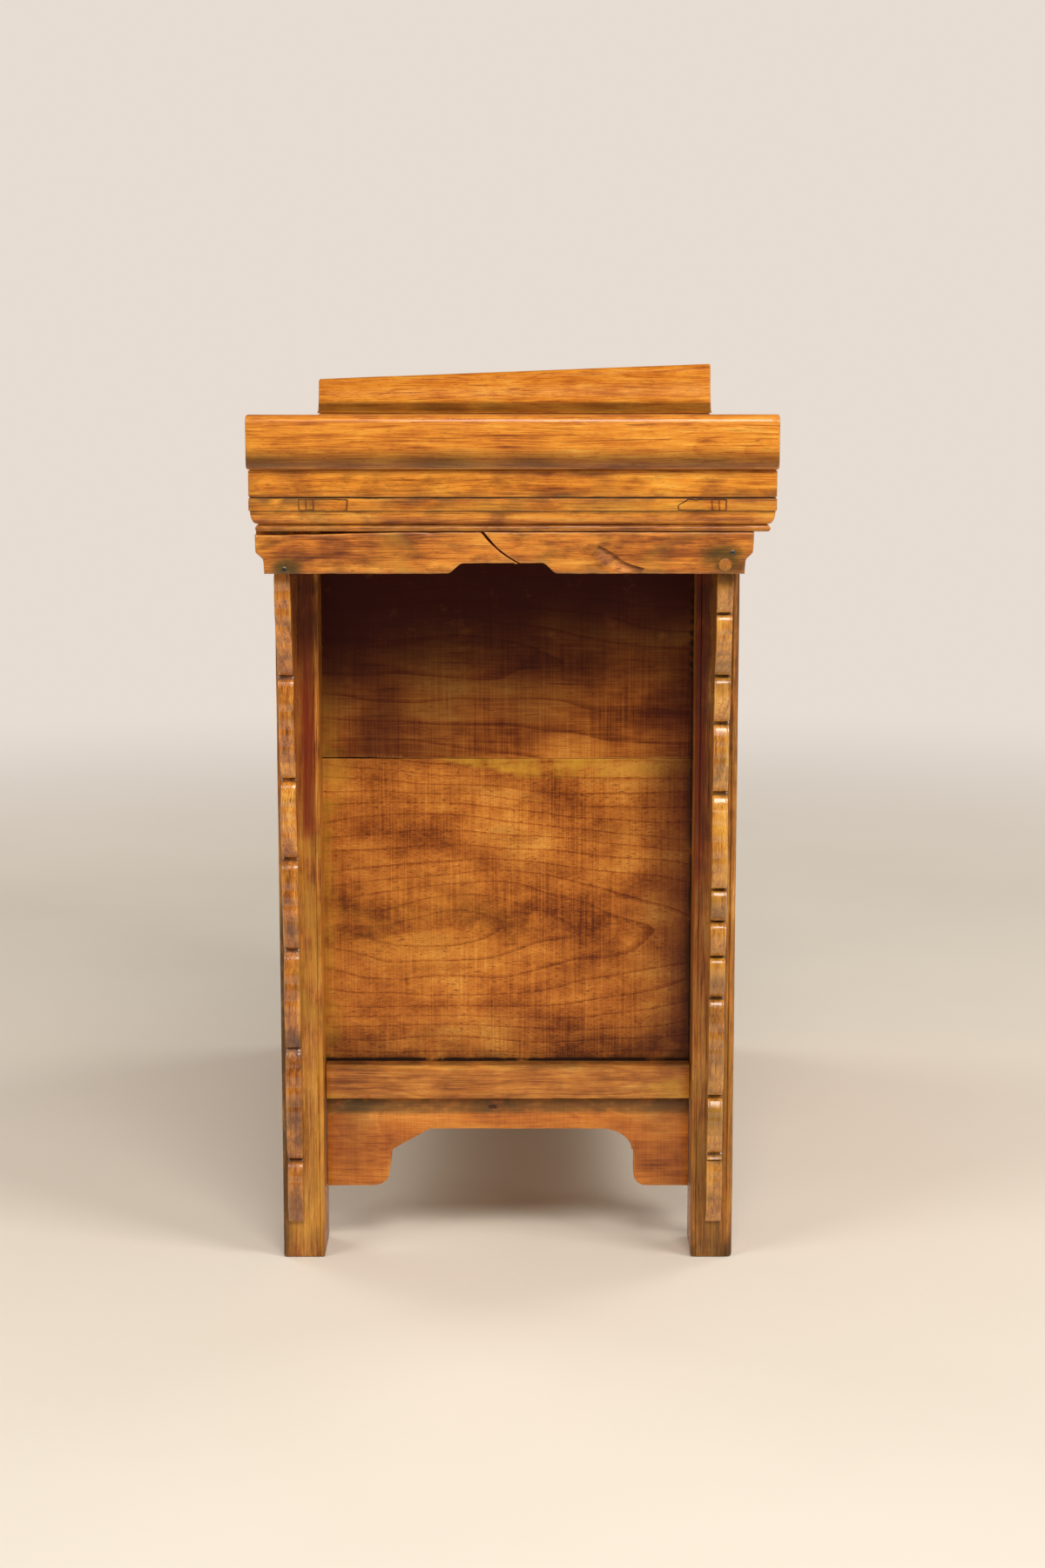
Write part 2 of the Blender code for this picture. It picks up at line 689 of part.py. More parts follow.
def leg_section(side, face):
    """A leg's section: beaded corners on the show face, and eased corners elsewhere."""
    outer, inner = side * LEG_END, side * LEG_INNER
    show, rear = LEG_FACE[face], LEG_INNER_FACE[face]
    eased = [
        (inner, rear + face * LEG_ARRIS),
        (inner + side * LEG_ARRIS, rear),
        (outer - side * LEG_ARRIS, rear),
        (outer, rear + face * LEG_ARRIS),
    ]
    if face == FRONT:
        first = beaded_corner((outer, -side), (show, -face))
        second = beaded_corner((inner, side), (show, -face))[::-1]
        return eased + first + second
    return eased + [
        (outer, show - face * LEG_ARRIS),
        (outer - side * LEG_ARRIS, show),
        (inner + side * LEG_ARRIS, show),
        (inner, show - face * LEG_ARRIS),
    ]


def side_rail_tenon(side, face, gap):
    middle = (SIDE_RAIL_OUTER + SIDE_RAIL_INNER) / 2
    half = RAIL_TENON_THICKNESS / 2 + gap
    inner = LEG_INNER_FACE[face]
    high = RAIL_TOP - PANEL_TONGUE - SIDE_TENON_MARGIN
    return (
        (side * (middle - half), inner - face * PAST, high - RAIL_TENON_HEIGHT - gap),
        (side * (middle + half), inner + face * (RAIL_TENON + gap), high + gap),
    )


def cross_rail_tenon(side, face, low, gap):
    """The tenon of a rail that runs along the cabinet, low enough to pass under the side rail's."""
    faces = {FRONT: (RAIL_FRONT, RAIL_REAR), BACK: (BACK_RAIL_FRONT, BACK_RAIL_REAR)}
    middle = sum(faces[face]) / 2
    half = RAIL_TENON_THICKNESS / 2 + gap
    base = low + RAIL_TENON_MARGIN
    return (
        (side * (LEG_INNER - PAST), middle - half, base - gap),
        (side * (LEG_INNER + RAIL_TENON + gap), middle + half, base + RAIL_TENON_HEIGHT + gap),
    )


def side_panel_groove(leg, side, face):
    inner = LEG_INNER_FACE[face]
    cut_block(
        leg,
        "side groove",
        (side * (PANEL_INNER - FIT), inner - face * PAST, RAIL_TOP - PANEL_TONGUE - FIT),
        (side * (PANEL_OUTER + FIT), inner + face * (PANEL_TONGUE + FIT), FRAME_BOTTOM + PAST),
    )


def back_panel_groove(leg, side):
    cut_block(
        leg,
        "back groove",
        (side * (LEG_INNER - PAST), BACK_PANEL_FRONT - FIT, RAIL_TOP - PANEL_TONGUE - FIT),
        (side * (LEG_INNER + PANEL_TONGUE + FIT), BACK_PANEL_REAR + FIT, FRAME_BOTTOM + PAST),
    )


def one_leg(side, face):
    name = f"leg_{FACE_NAMES[face]}_{SIDE_NAMES[side]}"
    top = FRAME_BOTTOM - FIT
    leg = outline(name, leg_section(side, face), top, PLAN, top / 2, CARCASE_WOOD)
    lap = FRIEZE_FACE[face] - face * (FRIEZE_THICKNESS + FIT)
    beyond = LEG_FACE[face] + face * PAST
    cut_block(
        leg,
        "lap",
        (side * (LEG_INNER - PAST), beyond, FRIEZE_BOTTOM - FIT),
        (side * (LEG_END + PAST), lap, top + PAST),
    )
    corner, opposite = leg_tenon(side, face, 0.0)
    join_block(leg, "tenon", corner, opposite)
    side_panel_groove(leg, side, face)
    corner, opposite = side_rail_tenon(side, face, FIT)
    cut_block(leg, "side mortise", corner, opposite)
    corner, opposite = cross_rail_tenon(side, face, RAIL_BOTTOM, FIT)
    cut_block(leg, "low mortise", corner, opposite)
    if face == BACK:
        back_panel_groove(leg, side)
    else:
        corner, opposite = cross_rail_tenon(side, face, MIDDLE_RAIL_BOTTOM, FIT)
        cut_block(leg, "middle mortise", corner, opposite)


def legs():
    for face in (FRONT, BACK):
        for side in (LEFT, RIGHT):
            one_leg(side, face)


def spandrel_edge(notches, top, reach):
    """The free edge from foot to frieze: swelling lobes that meet in notches."""
    height = top - SPANDREL_FOOT
    places = [(out * reach, SPANDREL_FOOT + up * height) for up, out in notches]
    places.append((reach, top))
    points = []
    for low, high in zip(places, places[1:]):
        for step in range(ARC_STEPS + 1):
            share = step / ARC_STEPS
            swell = SPANDREL_SWELL * 4 * share * (1 - share)
            dip = SPANDREL_NOTCH if step in (0, ARC_STEPS) else 0.0
            out = low[0] + (high[0] - low[0]) * share + swell - dip
            points.append((out, low[1] + (high[1] - low[1]) * share))
        points.pop()
    return [*points, (reach, top)]


def spandrels():
    top = FRIEZE_BOTTOM - FIT
    reach = END_FRIEZE_INNER - LEG_END - FIT
    kinds = (
        (FRONT, FRONT_SPANDREL_SETBACK, FRONT_SPANDREL_NOTCHES),
        (BACK, BACK_SPANDREL_SETBACK, BACK_SPANDREL_NOTCHES),
    )
    for face, setback, notches in kinds:
        edge = spandrel_edge(notches, top, reach)
        middle = LEG_FACE[face] - face * (setback + SPANDREL_THICKNESS / 2)
        for side in (LEFT, RIGHT):
            points = [(side * (LEG_END + out), up) for out, up in edge]
            points += [(side * (LEG_END + FIT), top), (side * (LEG_END + FIT), SPANDREL_FOOT)]
            name = f"spandrel_{FACE_NAMES[face]}_{SIDE_NAMES[side]}"
            outline(name, points, SPANDREL_THICKNESS, FRONT_VIEW, -middle, CARCASE_WOOD)


# Sides, back and inside boards


def side_panels():
    """Each panel runs up past the long rails to the underside of the top board."""
    low = RAIL_TOP - PANEL_TONGUE
    shoulder = FRAME_BOTTOM - FIT
    neck = BOARD_HALF - LONG_RAIL_WIDTH - FIT
    front = FRONT_LEG_INNER - PANEL_TONGUE
    back = BACK_LEG_INNER + PANEL_TONGUE
    points = [(front, low), (back, low), (back, shoulder), (neck, shoulder), (neck, FRAME_TOP)]
    points += [(-neck, FRAME_TOP), (-neck, shoulder), (front, shoulder)]
    for side in (LEFT, RIGHT):
        place = side * (PANEL_OUTER + PANEL_INNER) / 2
        outline(f"side_panel_{SIDE_NAMES[side]}", points, PANEL_THICKNESS, END_VIEW, place, PANEL_WOOD)


def side_rails():
    for side in (LEFT, RIGHT):
        rail = block(
            f"side_rail_{SIDE_NAMES[side]}",
            (side * SIDE_RAIL_INNER, FRONT_LEG_INNER + FIT, RAIL_BOTTOM),
            (side * SIDE_RAIL_OUTER, BACK_LEG_INNER - FIT, RAIL_TOP),
            CARCASE_WOOD,
        )
        for face in (FRONT, BACK):
            corner, opposite = side_rail_tenon(side, face, 0.0)
            join_block(rail, FACE_NAMES[face], corner, opposite)
        cut_block(
            rail,
            "groove",
            (side * (PANEL_INNER - FIT), FRONT_LEG_INNER - PAST, RAIL_TOP - PANEL_TONGUE - FIT),
            (side * (PANEL_OUTER + FIT), BACK_LEG_INNER + PAST, RAIL_TOP + PAST),
        )


def apron_outline(start, end):
    """A straight-topped apron with a cusped arch between two feet."""
    middle = (start + end) / 2
    half = (end - start) / 2
    foot = half - ARCH_FOOT
    wall = foot - ARCH_TOE
    spring = ARCH_RISE - ARCH_SHOULDER_HEIGHT
    shoulder = (wall - ARCH_CUSP - ARCH_SHOULDER, spring)
    right = [(half, 0.0)]
    right += arc((foot, ARCH_TOE), ARCH_TOE, ARCH_TOE, -90, -180)
    right += [(wall, spring)]
    right += arc(shoulder, ARCH_SHOULDER, ARCH_SHOULDER_HEIGHT, 0, 90)
    lower = right + mirrored(right)
    upper = [(-half, APRON_HEIGHT), (half, APRON_HEIGHT)]
    return [(middle + across, APRON_BOTTOM + up) for across, up in lower + upper]


def side_aprons():
    points = apron_outline(FRONT_LEG_INNER + FIT, BACK_LEG_INNER - FIT)
    for side in (LEFT, RIGHT):
        place = side * (SIDE_RAIL_OUTER - APRON_RECESS - APRON_THICKNESS / 2)
        outline(f"side_apron_{SIDE_NAMES[side]}", points, APRON_THICKNESS, END_VIEW, place, CARCASE_WOOD)


def front_apron():
    points = apron_outline(-LEG_INNER + FIT, LEG_INNER - FIT)
    place = RAIL_FRONT + APRON_RECESS + APRON_THICKNESS / 2
    outline("front_apron", points, APRON_THICKNESS, FRONT_VIEW, -place, CARCASE_WOOD)


def cross_rail(name, face, low, high):
    """A rail along the cabinet between two legs, tenoned into both."""
    near, far = {FRONT: (RAIL_FRONT, RAIL_REAR), BACK: (BACK_RAIL_FRONT, BACK_RAIL_REAR)}[face]
    end = LEG_INNER - FIT
    rail = block(name, (-end, near, low), (end, far, high), CARCASE_WOOD)
    for side in (LEFT, RIGHT):
        corner, opposite = cross_rail_tenon(side, face, low, 0.0)
        join_block(rail, SIDE_NAMES[side], corner, opposite)
    return rail


def rebate(rail, edge, board_edge, top, thickness):
    """A step along a rail's inner edge that carries a board, whose own edge lies at board_edge."""
    end = LEG_INNER + PAST
    outward = math.copysign(1, edge - board_edge)
    cut_block(
        rail,
        "rebate",
        (-end, edge + outward * PAST, top - thickness - FIT),
        (end, board_edge - outward * FIT, top + PAST),
    )


def back_side():
    rail = cross_rail("back_rail", BACK, RAIL_BOTTOM, RAIL_TOP)
    rebate(rail, BACK_RAIL_FRONT, FLOOR_REAR, RAIL_TOP, FLOOR_THICKNESS)
    groove_end = LEG_INNER + PAST
    cut_block(
        rail,
        "panel groove",
        (-groove_end, BACK_PANEL_FRONT - FIT, RAIL_TOP - PANEL_TONGUE - FIT),
        (groove_end, BACK_PANEL_REAR + FIT, RAIL_TOP + PAST),
    )
    end = LEG_INNER + PANEL_TONGUE
    panel = block(
        "back_panel",
        (-end, BACK_PANEL_FRONT, RAIL_TOP - PANEL_TONGUE),
        (end, BACK_PANEL_REAR, FRAME_BOTTOM - FIT),
        PANEL_WOOD,
    )
    cut_block(
        panel,
        "deck dado",
        (-end - PAST, BACK_PANEL_FRONT - PAST, DECK_TOP - DECK_THICKNESS - FIT),
        (end + PAST, BACK_PANEL_FRONT + REBATE + FIT, DECK_TOP + FIT),
    )


def inside_boards():
    end = LEG_INNER - FIT
    block(
        "floor_board",
        (-end, BOARD_SEAT, RAIL_TOP - FLOOR_THICKNESS),
        (end, FLOOR_REAR, RAIL_TOP),
        INNER_WOOD,
    )
    block(
        "drawer_deck",
        (-end, BOARD_SEAT, DECK_TOP - DECK_THICKNESS),
        (end, BACK_PANEL_FRONT + REBATE, DECK_TOP),
        INNER_WOOD,
    )
    low, high = DECK_TOP + FIT, FRIEZE_BOTTOM - FIT
    half = DIVIDER_WIDTH / 2
    stile_rear = RAIL_FRONT + DIVIDER_DEPTH
    divider = block("drawer_divider", (-half, RAIL_FRONT, low), (half, stile_rear, high), CARCASE_WOOD)
    half = PARTITION_THICKNESS / 2
    join_block(
        divider,
        "partition",
        (-half, stile_rear - PAST, low + FIT),
        (half, BACK_PANEL_FRONT - FIT, high - FIT),
    )


def front_rails():
    middle = cross_rail("front_middle_rail", FRONT, MIDDLE_RAIL_BOTTOM, DECK_TOP)
    rebate(middle, RAIL_REAR, BOARD_SEAT, DECK_TOP, DECK_THICKNESS)
    bottom = cross_rail("front_bottom_rail", FRONT, RAIL_BOTTOM, RAIL_TOP)
    rebate(bottom, RAIL_REAR, BOARD_SEAT, RAIL_TOP, FLOOR_THICKNESS)
    for side in (LEFT, RIGHT):
        x = side * PIVOT_X
        sockets = ((middle, MIDDLE_RAIL_BOTTOM, 1), (bottom, RAIL_TOP, -1))
        for rail, level, inward in sockets:
            mouth = (x, DOOR_MIDDLE, level - inward * PAST)
            end = (x, DOOR_MIDDLE, level + inward * PIVOT_SOCKET)
            cut(rail, rod(f"{rail.name} socket {side}", mouth, end, PIVOT_RADIUS + FIT))


# Drawers


def drawer_front(side, inner, outer):
    """The front board, grooved behind for the two sides and the bottom."""
    rear = FRONT_PLANE + DRAWER_FRONT_THICKNESS
    low, high = DECK_TOP + DRAWER_GAP, FRIEZE_BOTTOM - DRAWER_GAP
    name = f"drawer_{SIDE_NAMES[side]}_front"
    board = block(name, (inner, FRONT_PLANE, low), (outer, rear, high), CARCASE_WOOD)
    for label, edge, inward in (("inner", inner, side), ("outer", outer, -side)):
        wall = edge + inward * (DRAWER_BOX_INSET - FIT)
        cut_block(
            board,
            f"{label} dado",
            (wall, rear - DRAWER_DADO, low - PAST),
            (wall + inward * (DRAWER_WALL + 2 * FIT), rear + PAST, high - DRAWER_BOX_DROP + FIT),
        )
    inset = side * (DRAWER_BOX_INSET + DRAWER_WALL - DRAWER_GROOVE)
    base = DECK_TOP + FIT + DRAWER_BOTTOM_RAISE
    cut_block(
        board,
        "bottom groove",
        (inner + inset, rear - DRAWER_GROOVE - FIT, base - FIT),
        (outer - inset, rear + PAST, base + DRAWER_BOTTOM + FIT),
    )
    return board


def drawer_box(side, inner, outer):
    """Two sides and a back under which the bottom slides in."""
    front_rear = FRONT_PLANE + DRAWER_FRONT_THICKNESS
    start = front_rear - DRAWER_DADO + FIT
    end = FRONT_PLANE + DRAWER_DEPTH
    low, high = DECK_TOP + FIT, FRIEZE_BOTTOM - DRAWER_GAP - DRAWER_BOX_DROP
    inset = side * DRAWER_BOX_INSET
    wall = side * DRAWER_WALL
    groove = side * (DRAWER_WALL - DRAWER_GROOVE)
    left, right = inner + inset, outer - inset
    box = block(f"drawer_{SIDE_NAMES[side]}_box", (left, start, low), (right, end, high), INNER_WOOD)
    base = low + DRAWER_BOTTOM_RAISE
    cut_block(
        box,
        "inside",
        (left + wall, start - PAST, low - PAST),
        (right - wall, end - DRAWER_WALL, high + PAST),
    )
    cut_block(
        box,
        "under back",
        (left + wall, end - DRAWER_WALL - PAST, low - PAST),
        (right - wall, end + PAST, base + DRAWER_BOTTOM + FIT),
    )
    cut_block(
        box,
        "grooves",
        (left + groove - side * FIT, start - PAST, base - FIT),
        (right - groove + side * FIT, end + PAST, base + DRAWER_BOTTOM + FIT),
    )
    bottom = block(
        f"drawer_{SIDE_NAMES[side]}_bottom",
        (left + groove, front_rear - DRAWER_GROOVE, base),
        (right - groove, end, base + DRAWER_BOTTOM),
        INNER_WOOD,
    )
    return [box, bottom]


def lobed_plate(name, centre_x, centre_z):
    """A thin plate of four soft lobes, standing on a drawer's front."""
    points = []
    for step in range(2 * ROUND_STEPS):
        turn = math.pi * step / ROUND_STEPS
        swell = PLATE_LOBE * math.cos(4 * turn)
        across = (DRAWER_PLATE_LENGTH / 2 + swell) * math.cos(turn)
        up = (DRAWER_PLATE_HEIGHT / 2 + swell) * math.sin(turn)
        points.append((centre_x + across, centre_z + up))
    place = FRONT_PLANE - FIT - PLATE_THICKNESS / 2
    return outline(name, points, PLATE_THICKNESS, FRONT_VIEW, -place, BRASS)


def drawer_plate(side, x, z):
    name = f"drawer_{SIDE_NAMES[side]}_plate"
    plate = lobed_plate(name, x, z)
    face = FRONT_PLANE - FIT - PLATE_THICKNESS
    for end in (LEFT, RIGHT):
        post_x = x + end * POST_SPACING / 2
        tip = (post_x, face - POST_LENGTH, z)
        join(plate, rod(f"{name} post {end}", tip, (post_x, face + PLATE_SINK, z), POST_RADIUS))
        eye_start = (post_x - PAST, face - POST_EYE, z)
        eye_end = (post_x + PAST, face - POST_EYE, z)
        cut(plate, rod(f"{name} eye {end}", eye_start, eye_end, BAIL_RADIUS + FIT))
    return plate


def bail_path():
    """A bail's middle line: a pin, a round corner, a hanging half ellipse and the same again."""
    half = POST_SPACING / 2
    side = half + BAIL_SIDE + BAIL_CORNER
    right = [(half - BAIL_PIN, 0.0)]
    right += arc((half + BAIL_SIDE, -BAIL_CORNER), BAIL_CORNER, BAIL_CORNER, 90, 0)
    hang = arc((0.0, -BAIL_CORNER), side, BAIL_DROP - BAIL_CORNER, 0, -180, 3 * ARC_STEPS)[1:-1]
    return right + hang + mirrored(right)


def drawer_bail(side, x, z):
    """The bail is a bent rod with its origin on the line of the two eyes."""
    curve = bpy.data.curves.new(f"drawer_{SIDE_NAMES[side]}_bail", "CURVE")
    curve.dimensions = "3D"
    curve.bevel_depth = BAIL_RADIUS
    curve.bevel_resolution = WIRE_STEPS // 4
    curve.use_fill_caps = True
    path = bail_path()
    spline = curve.splines.new("POLY")
    spline.points.add(len(path) - 1)
    for point, (across, up) in zip(spline.points, path):
        point.co = (across, 0.0, up, 1.0)
    bail = bpy.data.objects.new(curve.name, curve)
    bail.location = (x, FRONT_PLANE - FIT - PLATE_THICKNESS - POST_EYE, z)
    PARTS.objects.link(bail)
    finish(bail, BRASS)
    return bail


def drawers():
    for side in (LEFT, RIGHT):
        inner = side * (DIVIDER_WIDTH / 2 + DRAWER_GAP)
        outer = side * (LEG_INNER - DRAWER_GAP)
        x, z = (inner + outer) / 2, (DECK_TOP + FRIEZE_BOTTOM) / 2
        pieces = [drawer_front(side, inner, outer), *drawer_box(side, inner, outer), drawer_plate(side, x, z)]
        slide = carrier(f"drawer_{SIDE_NAMES[side]}_slide", (x, FRONT_PLANE, DECK_TOP))
        carry(slide, [*pieces, drawer_bail(side, x, z)])


# Doors


def door_tenon(x, toward, low, high, gap):
    """A door rail's tenon in the stile whose inner edge lies at x."""
    half = DOOR_TENON_THICKNESS / 2 + gap
    return (
        (x - toward * PAST, DOOR_MIDDLE - half, low + DOOR_TENON_MARGIN - gap),
        (x + toward * (DOOR_TENON + gap), DOOR_MIDDLE + half, high - DOOR_TENON_MARGIN + gap),
    )


def door_levels():
    """The low and high edges of the bottom rail and the top rail."""
    return ((DOOR_LOW, DOOR_LOW + DOOR_RAIL_WIDTH), (DOOR_HIGH - DOOR_RAIL_WIDTH, DOOR_HIGH))


def fit_stile(stile, x, toward):
    """Cuts a stile's mortises and the groove that holds the panel."""
    for label, (low, high) in zip(("bottom", "top"), door_levels()):
        corner, opposite = door_tenon(x, toward, low, high, FIT)
        cut_block(stile, f"{label} mortise", corner, opposite)
    half = DOOR_PANEL_THICKNESS / 2 + FIT
    (_, low), (high, _) = door_levels()
    cut_block(
        stile,
        "groove",
        (x - toward * PAST, DOOR_MIDDLE - half, low - DOOR_GROOVE - FIT),
        (x + toward * (DOOR_GROOVE + FIT), DOOR_MIDDLE + half, high + DOOR_GROOVE + FIT),
    )


def hinge_stile(side, inner):
    """The stile that turns: round on the leg's side, with a wooden pivot at each end."""
    name = f"door_{SIDE_NAMES[side]}_hinge_stile"
    half = DOOR_THICKNESS / 2
    middle = (side * PIVOT_X, DOOR_MIDDLE)
    edge = arc(middle, side * half, half, -90, 90, 2 * ARC_STEPS)
    points = [*edge, (inner, DOOR_MIDDLE + half), (inner, DOOR_MIDDLE - half)]
    height = DOOR_HIGH - DOOR_LOW
    stile = outline(name, points, height, PLAN, (DOOR_LOW + DOOR_HIGH) / 2, CARCASE_WOOD)
    reach = DOOR_END_GAP + PIVOT_SOCKET - FIT
    for label, level, outward in (("foot", DOOR_LOW, -1), ("head", DOOR_HIGH, 1)):
        start = (*middle, level - outward * PAST)
        join(stile, rod(f"{name} {label}", start, (*middle, level + outward * reach), PIVOT_RADIUS))
    fit_stile(stile, inner, side)
    return stile


def meeting_stile(side, outer, inner):
    name = f"door_{SIDE_NAMES[side]}_meeting_stile"
    rear = FRONT_PLANE + DOOR_THICKNESS
    stile = block(name, (outer, FRONT_PLANE, DOOR_LOW), (inner, rear, DOOR_HIGH), CARCASE_WOOD)
    fit_stile(stile, outer, -side)
    return stile


def door_rails(side, outer, inner):
    """The two rails between a door's stiles, each grooved on the edge that faces the panel."""
    rails = []
    half = DOOR_PANEL_THICKNESS / 2 + FIT
    for label, (low, high), panel_edge in zip(("bottom", "top"), door_levels(), (1, -1)):
        rail = block(
            f"door_{SIDE_NAMES[side]}_{label}_rail",
            (outer - side * FIT, FRONT_PLANE, low),
            (inner + side * FIT, FRONT_PLANE + DOOR_THICKNESS, high),
            CARCASE_WOOD,
        )
        for x, toward in ((outer, side), (inner, -side)):
            corner, opposite = door_tenon(x, toward, low, high, 0.0)
            join_block(rail, f"tenon {toward}", corner, opposite)
        edge = high if panel_edge == 1 else low
        cut_block(
            rail,
            "groove",
            (outer + side * PAST, DOOR_MIDDLE - half, edge + panel_edge * PAST),
            (inner - side * PAST, DOOR_MIDDLE + half, edge - panel_edge * (DOOR_GROOVE + FIT)),
        )
        rails.append(rail)
    return rails


def door_panel(side, outer, inner):
    half = DOOR_PANEL_THICKNESS / 2
    (_, low), (high, _) = door_levels()
    return block(
        f"door_{SIDE_NAMES[side]}_panel",
        (outer + side * DOOR_GROOVE, DOOR_MIDDLE - half, low - DOOR_GROOVE),
        (inner - side * DOOR_GROOVE, DOOR_MIDDLE + half, high + DOOR_GROOVE),
        PANEL_WOOD,
    )


def door_plate(side, edge_x, z):
    """Half of a round plate, with the staple that the drop hangs in."""
    name = f"door_{SIDE_NAMES[side]}_plate"
    centre = (edge_x + side * DOOR_PLATE_EDGE_GAP, z)
    points = arc(centre, side * DOOR_PLATE_RADIUS, DOOR_PLATE_RADIUS, -90, 90, ROUND_STEPS)
    place = FRONT_PLANE - FIT - PLATE_THICKNESS / 2
    plate = outline(name, points, PLATE_THICKNESS, FRONT_VIEW, -place, BRASS)
    join(plate, ring(f"{name} staple", drop_axis(side, edge_x, z), (1, 0, 0), STAPLE_RADIUS, STAPLE_WIRE))
    return plate


def drop_axis(side, edge_x, z):
    """The middle of a staple, on which its drop turns."""
    face = FRONT_PLANE - FIT - PLATE_THICKNESS
    return (edge_x + side * STAPLE_INSET, face - STAPLE_RADIUS - STAPLE_WIRE + PLATE_SINK, z)


def drop_outline():
    """A leaf that widens below its ring and closes in a round tip."""
    neck = DROP_RING_WIRE
    half = DROP_WIDTH / 2
    top = -2 * DROP_RING_RADIUS
    shoulder = top - DROP_LENGTH / 2
    right = [(neck, top + DROP_RING_WIRE / 2)]
    right += ogee((neck, top - DROP_RING_WIRE), (half, shoulder))
    right += arc((0.0, shoulder), half, -DROP_LENGTH / 2, 0, 90)[1:]
    return right + mirrored(right)[1:]


def drop_pull(side, axis):
    """A drop whose ring hangs on the wire of its staple."""
    name = f"door_{SIDE_NAMES[side]}_drop"
    hang = axis[2] - (STAPLE_RADIUS - STAPLE_WIRE - DROP_RING_WIRE - FIT)
    points = [(axis[0] + across, hang + up) for across, up in drop_outline()]
    drop = outline(name, points, DROP_THICKNESS, FRONT_VIEW, -axis[1], BRASS)
    centre = (axis[0], axis[1], hang - DROP_RING_RADIUS)
    join(drop, ring(f"{name} ring", centre, (0, 1, 0), DROP_RING_RADIUS, DROP_RING_WIRE))
    swing = carrier(f"{name}_swing", axis)
    carry(swing, [drop])
    return swing


def doors():
    for side in (LEFT, RIGHT):
        edge_x = side * DOOR_GAP
        outer = side * (LEG_INNER - DOOR_GAP - STILE_WIDTH)
        inner = side * (DOOR_GAP + STILE_WIDTH)
        z = (DOOR_LOW + DOOR_HIGH) / 2
        pieces = [
            hinge_stile(side, outer),
            meeting_stile(side, inner, edge_x),
            *door_rails(side, outer, inner),
            door_panel(side, outer, inner),
            door_plate(side, edge_x, z),
            drop_pull(side, drop_axis(side, edge_x, z)),
        ]
        hinge = carrier(f"door_{SIDE_NAMES[side]}_hinge", (side * PIVOT_X, DOOR_MIDDLE, DOOR_LOW))
        carry(hinge, pieces)


def main():
    flanges()
    cleats()
    top_board()
    long_rails()
    end_rails()
    top_batten()
    long_friezes()
    end_friezes()
    legs()
    spandrels()
    side_panels()
    side_rails()
    side_aprons()
    front_apron()
    front_rails()
    back_side()
    inside_boards()
    drawers()
    doors()


main()
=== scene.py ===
"""The looks of an altar cabinet with everted flanges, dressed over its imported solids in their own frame."""

import json
import logging
import math
import random
from collections.abc import Callable, Iterable, Sequence
from dataclasses import dataclass, field, replace
from enum import Enum, StrEnum
from functools import partial
from typing import Any

import bmesh
import bpy
from mathutils import Euler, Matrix, Vector, kdtree, noise
from mathutils.geometry import delaunay_2d_cdt


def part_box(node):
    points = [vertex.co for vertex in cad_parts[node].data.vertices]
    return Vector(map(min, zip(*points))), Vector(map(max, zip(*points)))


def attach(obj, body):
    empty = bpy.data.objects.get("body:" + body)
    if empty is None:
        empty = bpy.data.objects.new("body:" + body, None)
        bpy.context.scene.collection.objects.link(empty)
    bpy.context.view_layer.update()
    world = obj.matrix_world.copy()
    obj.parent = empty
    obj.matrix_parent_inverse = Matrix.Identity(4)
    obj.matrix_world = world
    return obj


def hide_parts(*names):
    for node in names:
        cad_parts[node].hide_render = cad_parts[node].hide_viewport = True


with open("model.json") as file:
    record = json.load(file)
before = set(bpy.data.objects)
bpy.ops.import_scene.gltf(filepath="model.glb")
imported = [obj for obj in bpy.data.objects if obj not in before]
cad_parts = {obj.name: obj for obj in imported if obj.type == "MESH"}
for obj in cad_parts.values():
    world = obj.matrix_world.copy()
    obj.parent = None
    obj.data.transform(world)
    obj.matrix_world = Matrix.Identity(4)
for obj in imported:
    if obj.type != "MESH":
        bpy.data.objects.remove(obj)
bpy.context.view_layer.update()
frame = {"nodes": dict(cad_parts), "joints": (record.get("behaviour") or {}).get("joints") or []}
LOG = logging.getLogger("altar_cabinet")

MM = 0.001
FIT = 0.0003  # play between pieces that are fixed to each other
SHARP = math.radians(36)  # edges that turn further than this stay sharp
NEAR = 1e-5  # points closer than this to a plane lie on it
DIGITS = 6  # decimals by which points of two edges are matched
BOW = 1 - math.sqrt(0.5)  # how far in the middle of a quarter round lies
RUBBED = 0.45  # wear at the rim of a rounded arris

Point2 = tuple[float, float]
Place = tuple[float, float, float]
Corner = tuple[float, float, float]  # a point of a section, and its rounding or wear
Colour = tuple[float, float, float, float]
Marks = tuple[float, float, float, float]  # grime, bare wood, glaze and stain; grime, glaze and stain also carry painted shade on some pieces
Patina = Callable[[Vector], Marks]
Level = Callable[[float, float], float]


class Axis(Enum):
    """An axis of the cabinet's frame: X along its length, Y from front to back, Z up."""

    X = 0
    Y = 1
    Z = 2

    def place(self, along: float, a: float, b: float) -> Vector:
        """The point that lies along this axis, with a and b on the other two in order."""
        return Vector(((along, a, b), (a, along, b), (a, b, along))[self.value])

    def flat(self, point: Sequence[float]) -> Point2:
        """A point's two coordinates across this axis, in order."""
        a, b = (value for index, value in enumerate(point) if index != self.value)
        return a, b


class Side(StrEnum):
    """An end of the cabinet."""

    LEFT = "left"
    RIGHT = "right"

    @property
    def sign(self) -> int:
        """The sign of X at this end."""
        return -1 if self is Side.LEFT else 1

    def face(self, node: str) -> float:
        """Where a solid's outer face lies at this end."""
        return self.sign * max(abs(corner.x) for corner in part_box(node))


class Slot(Enum):
    """The record's material slots that new pieces go with."""

    TOP = "top_wood"
    CARCASE = "carcase_wood"
    PANEL = "panel_wood"
    BRASS = "brass"


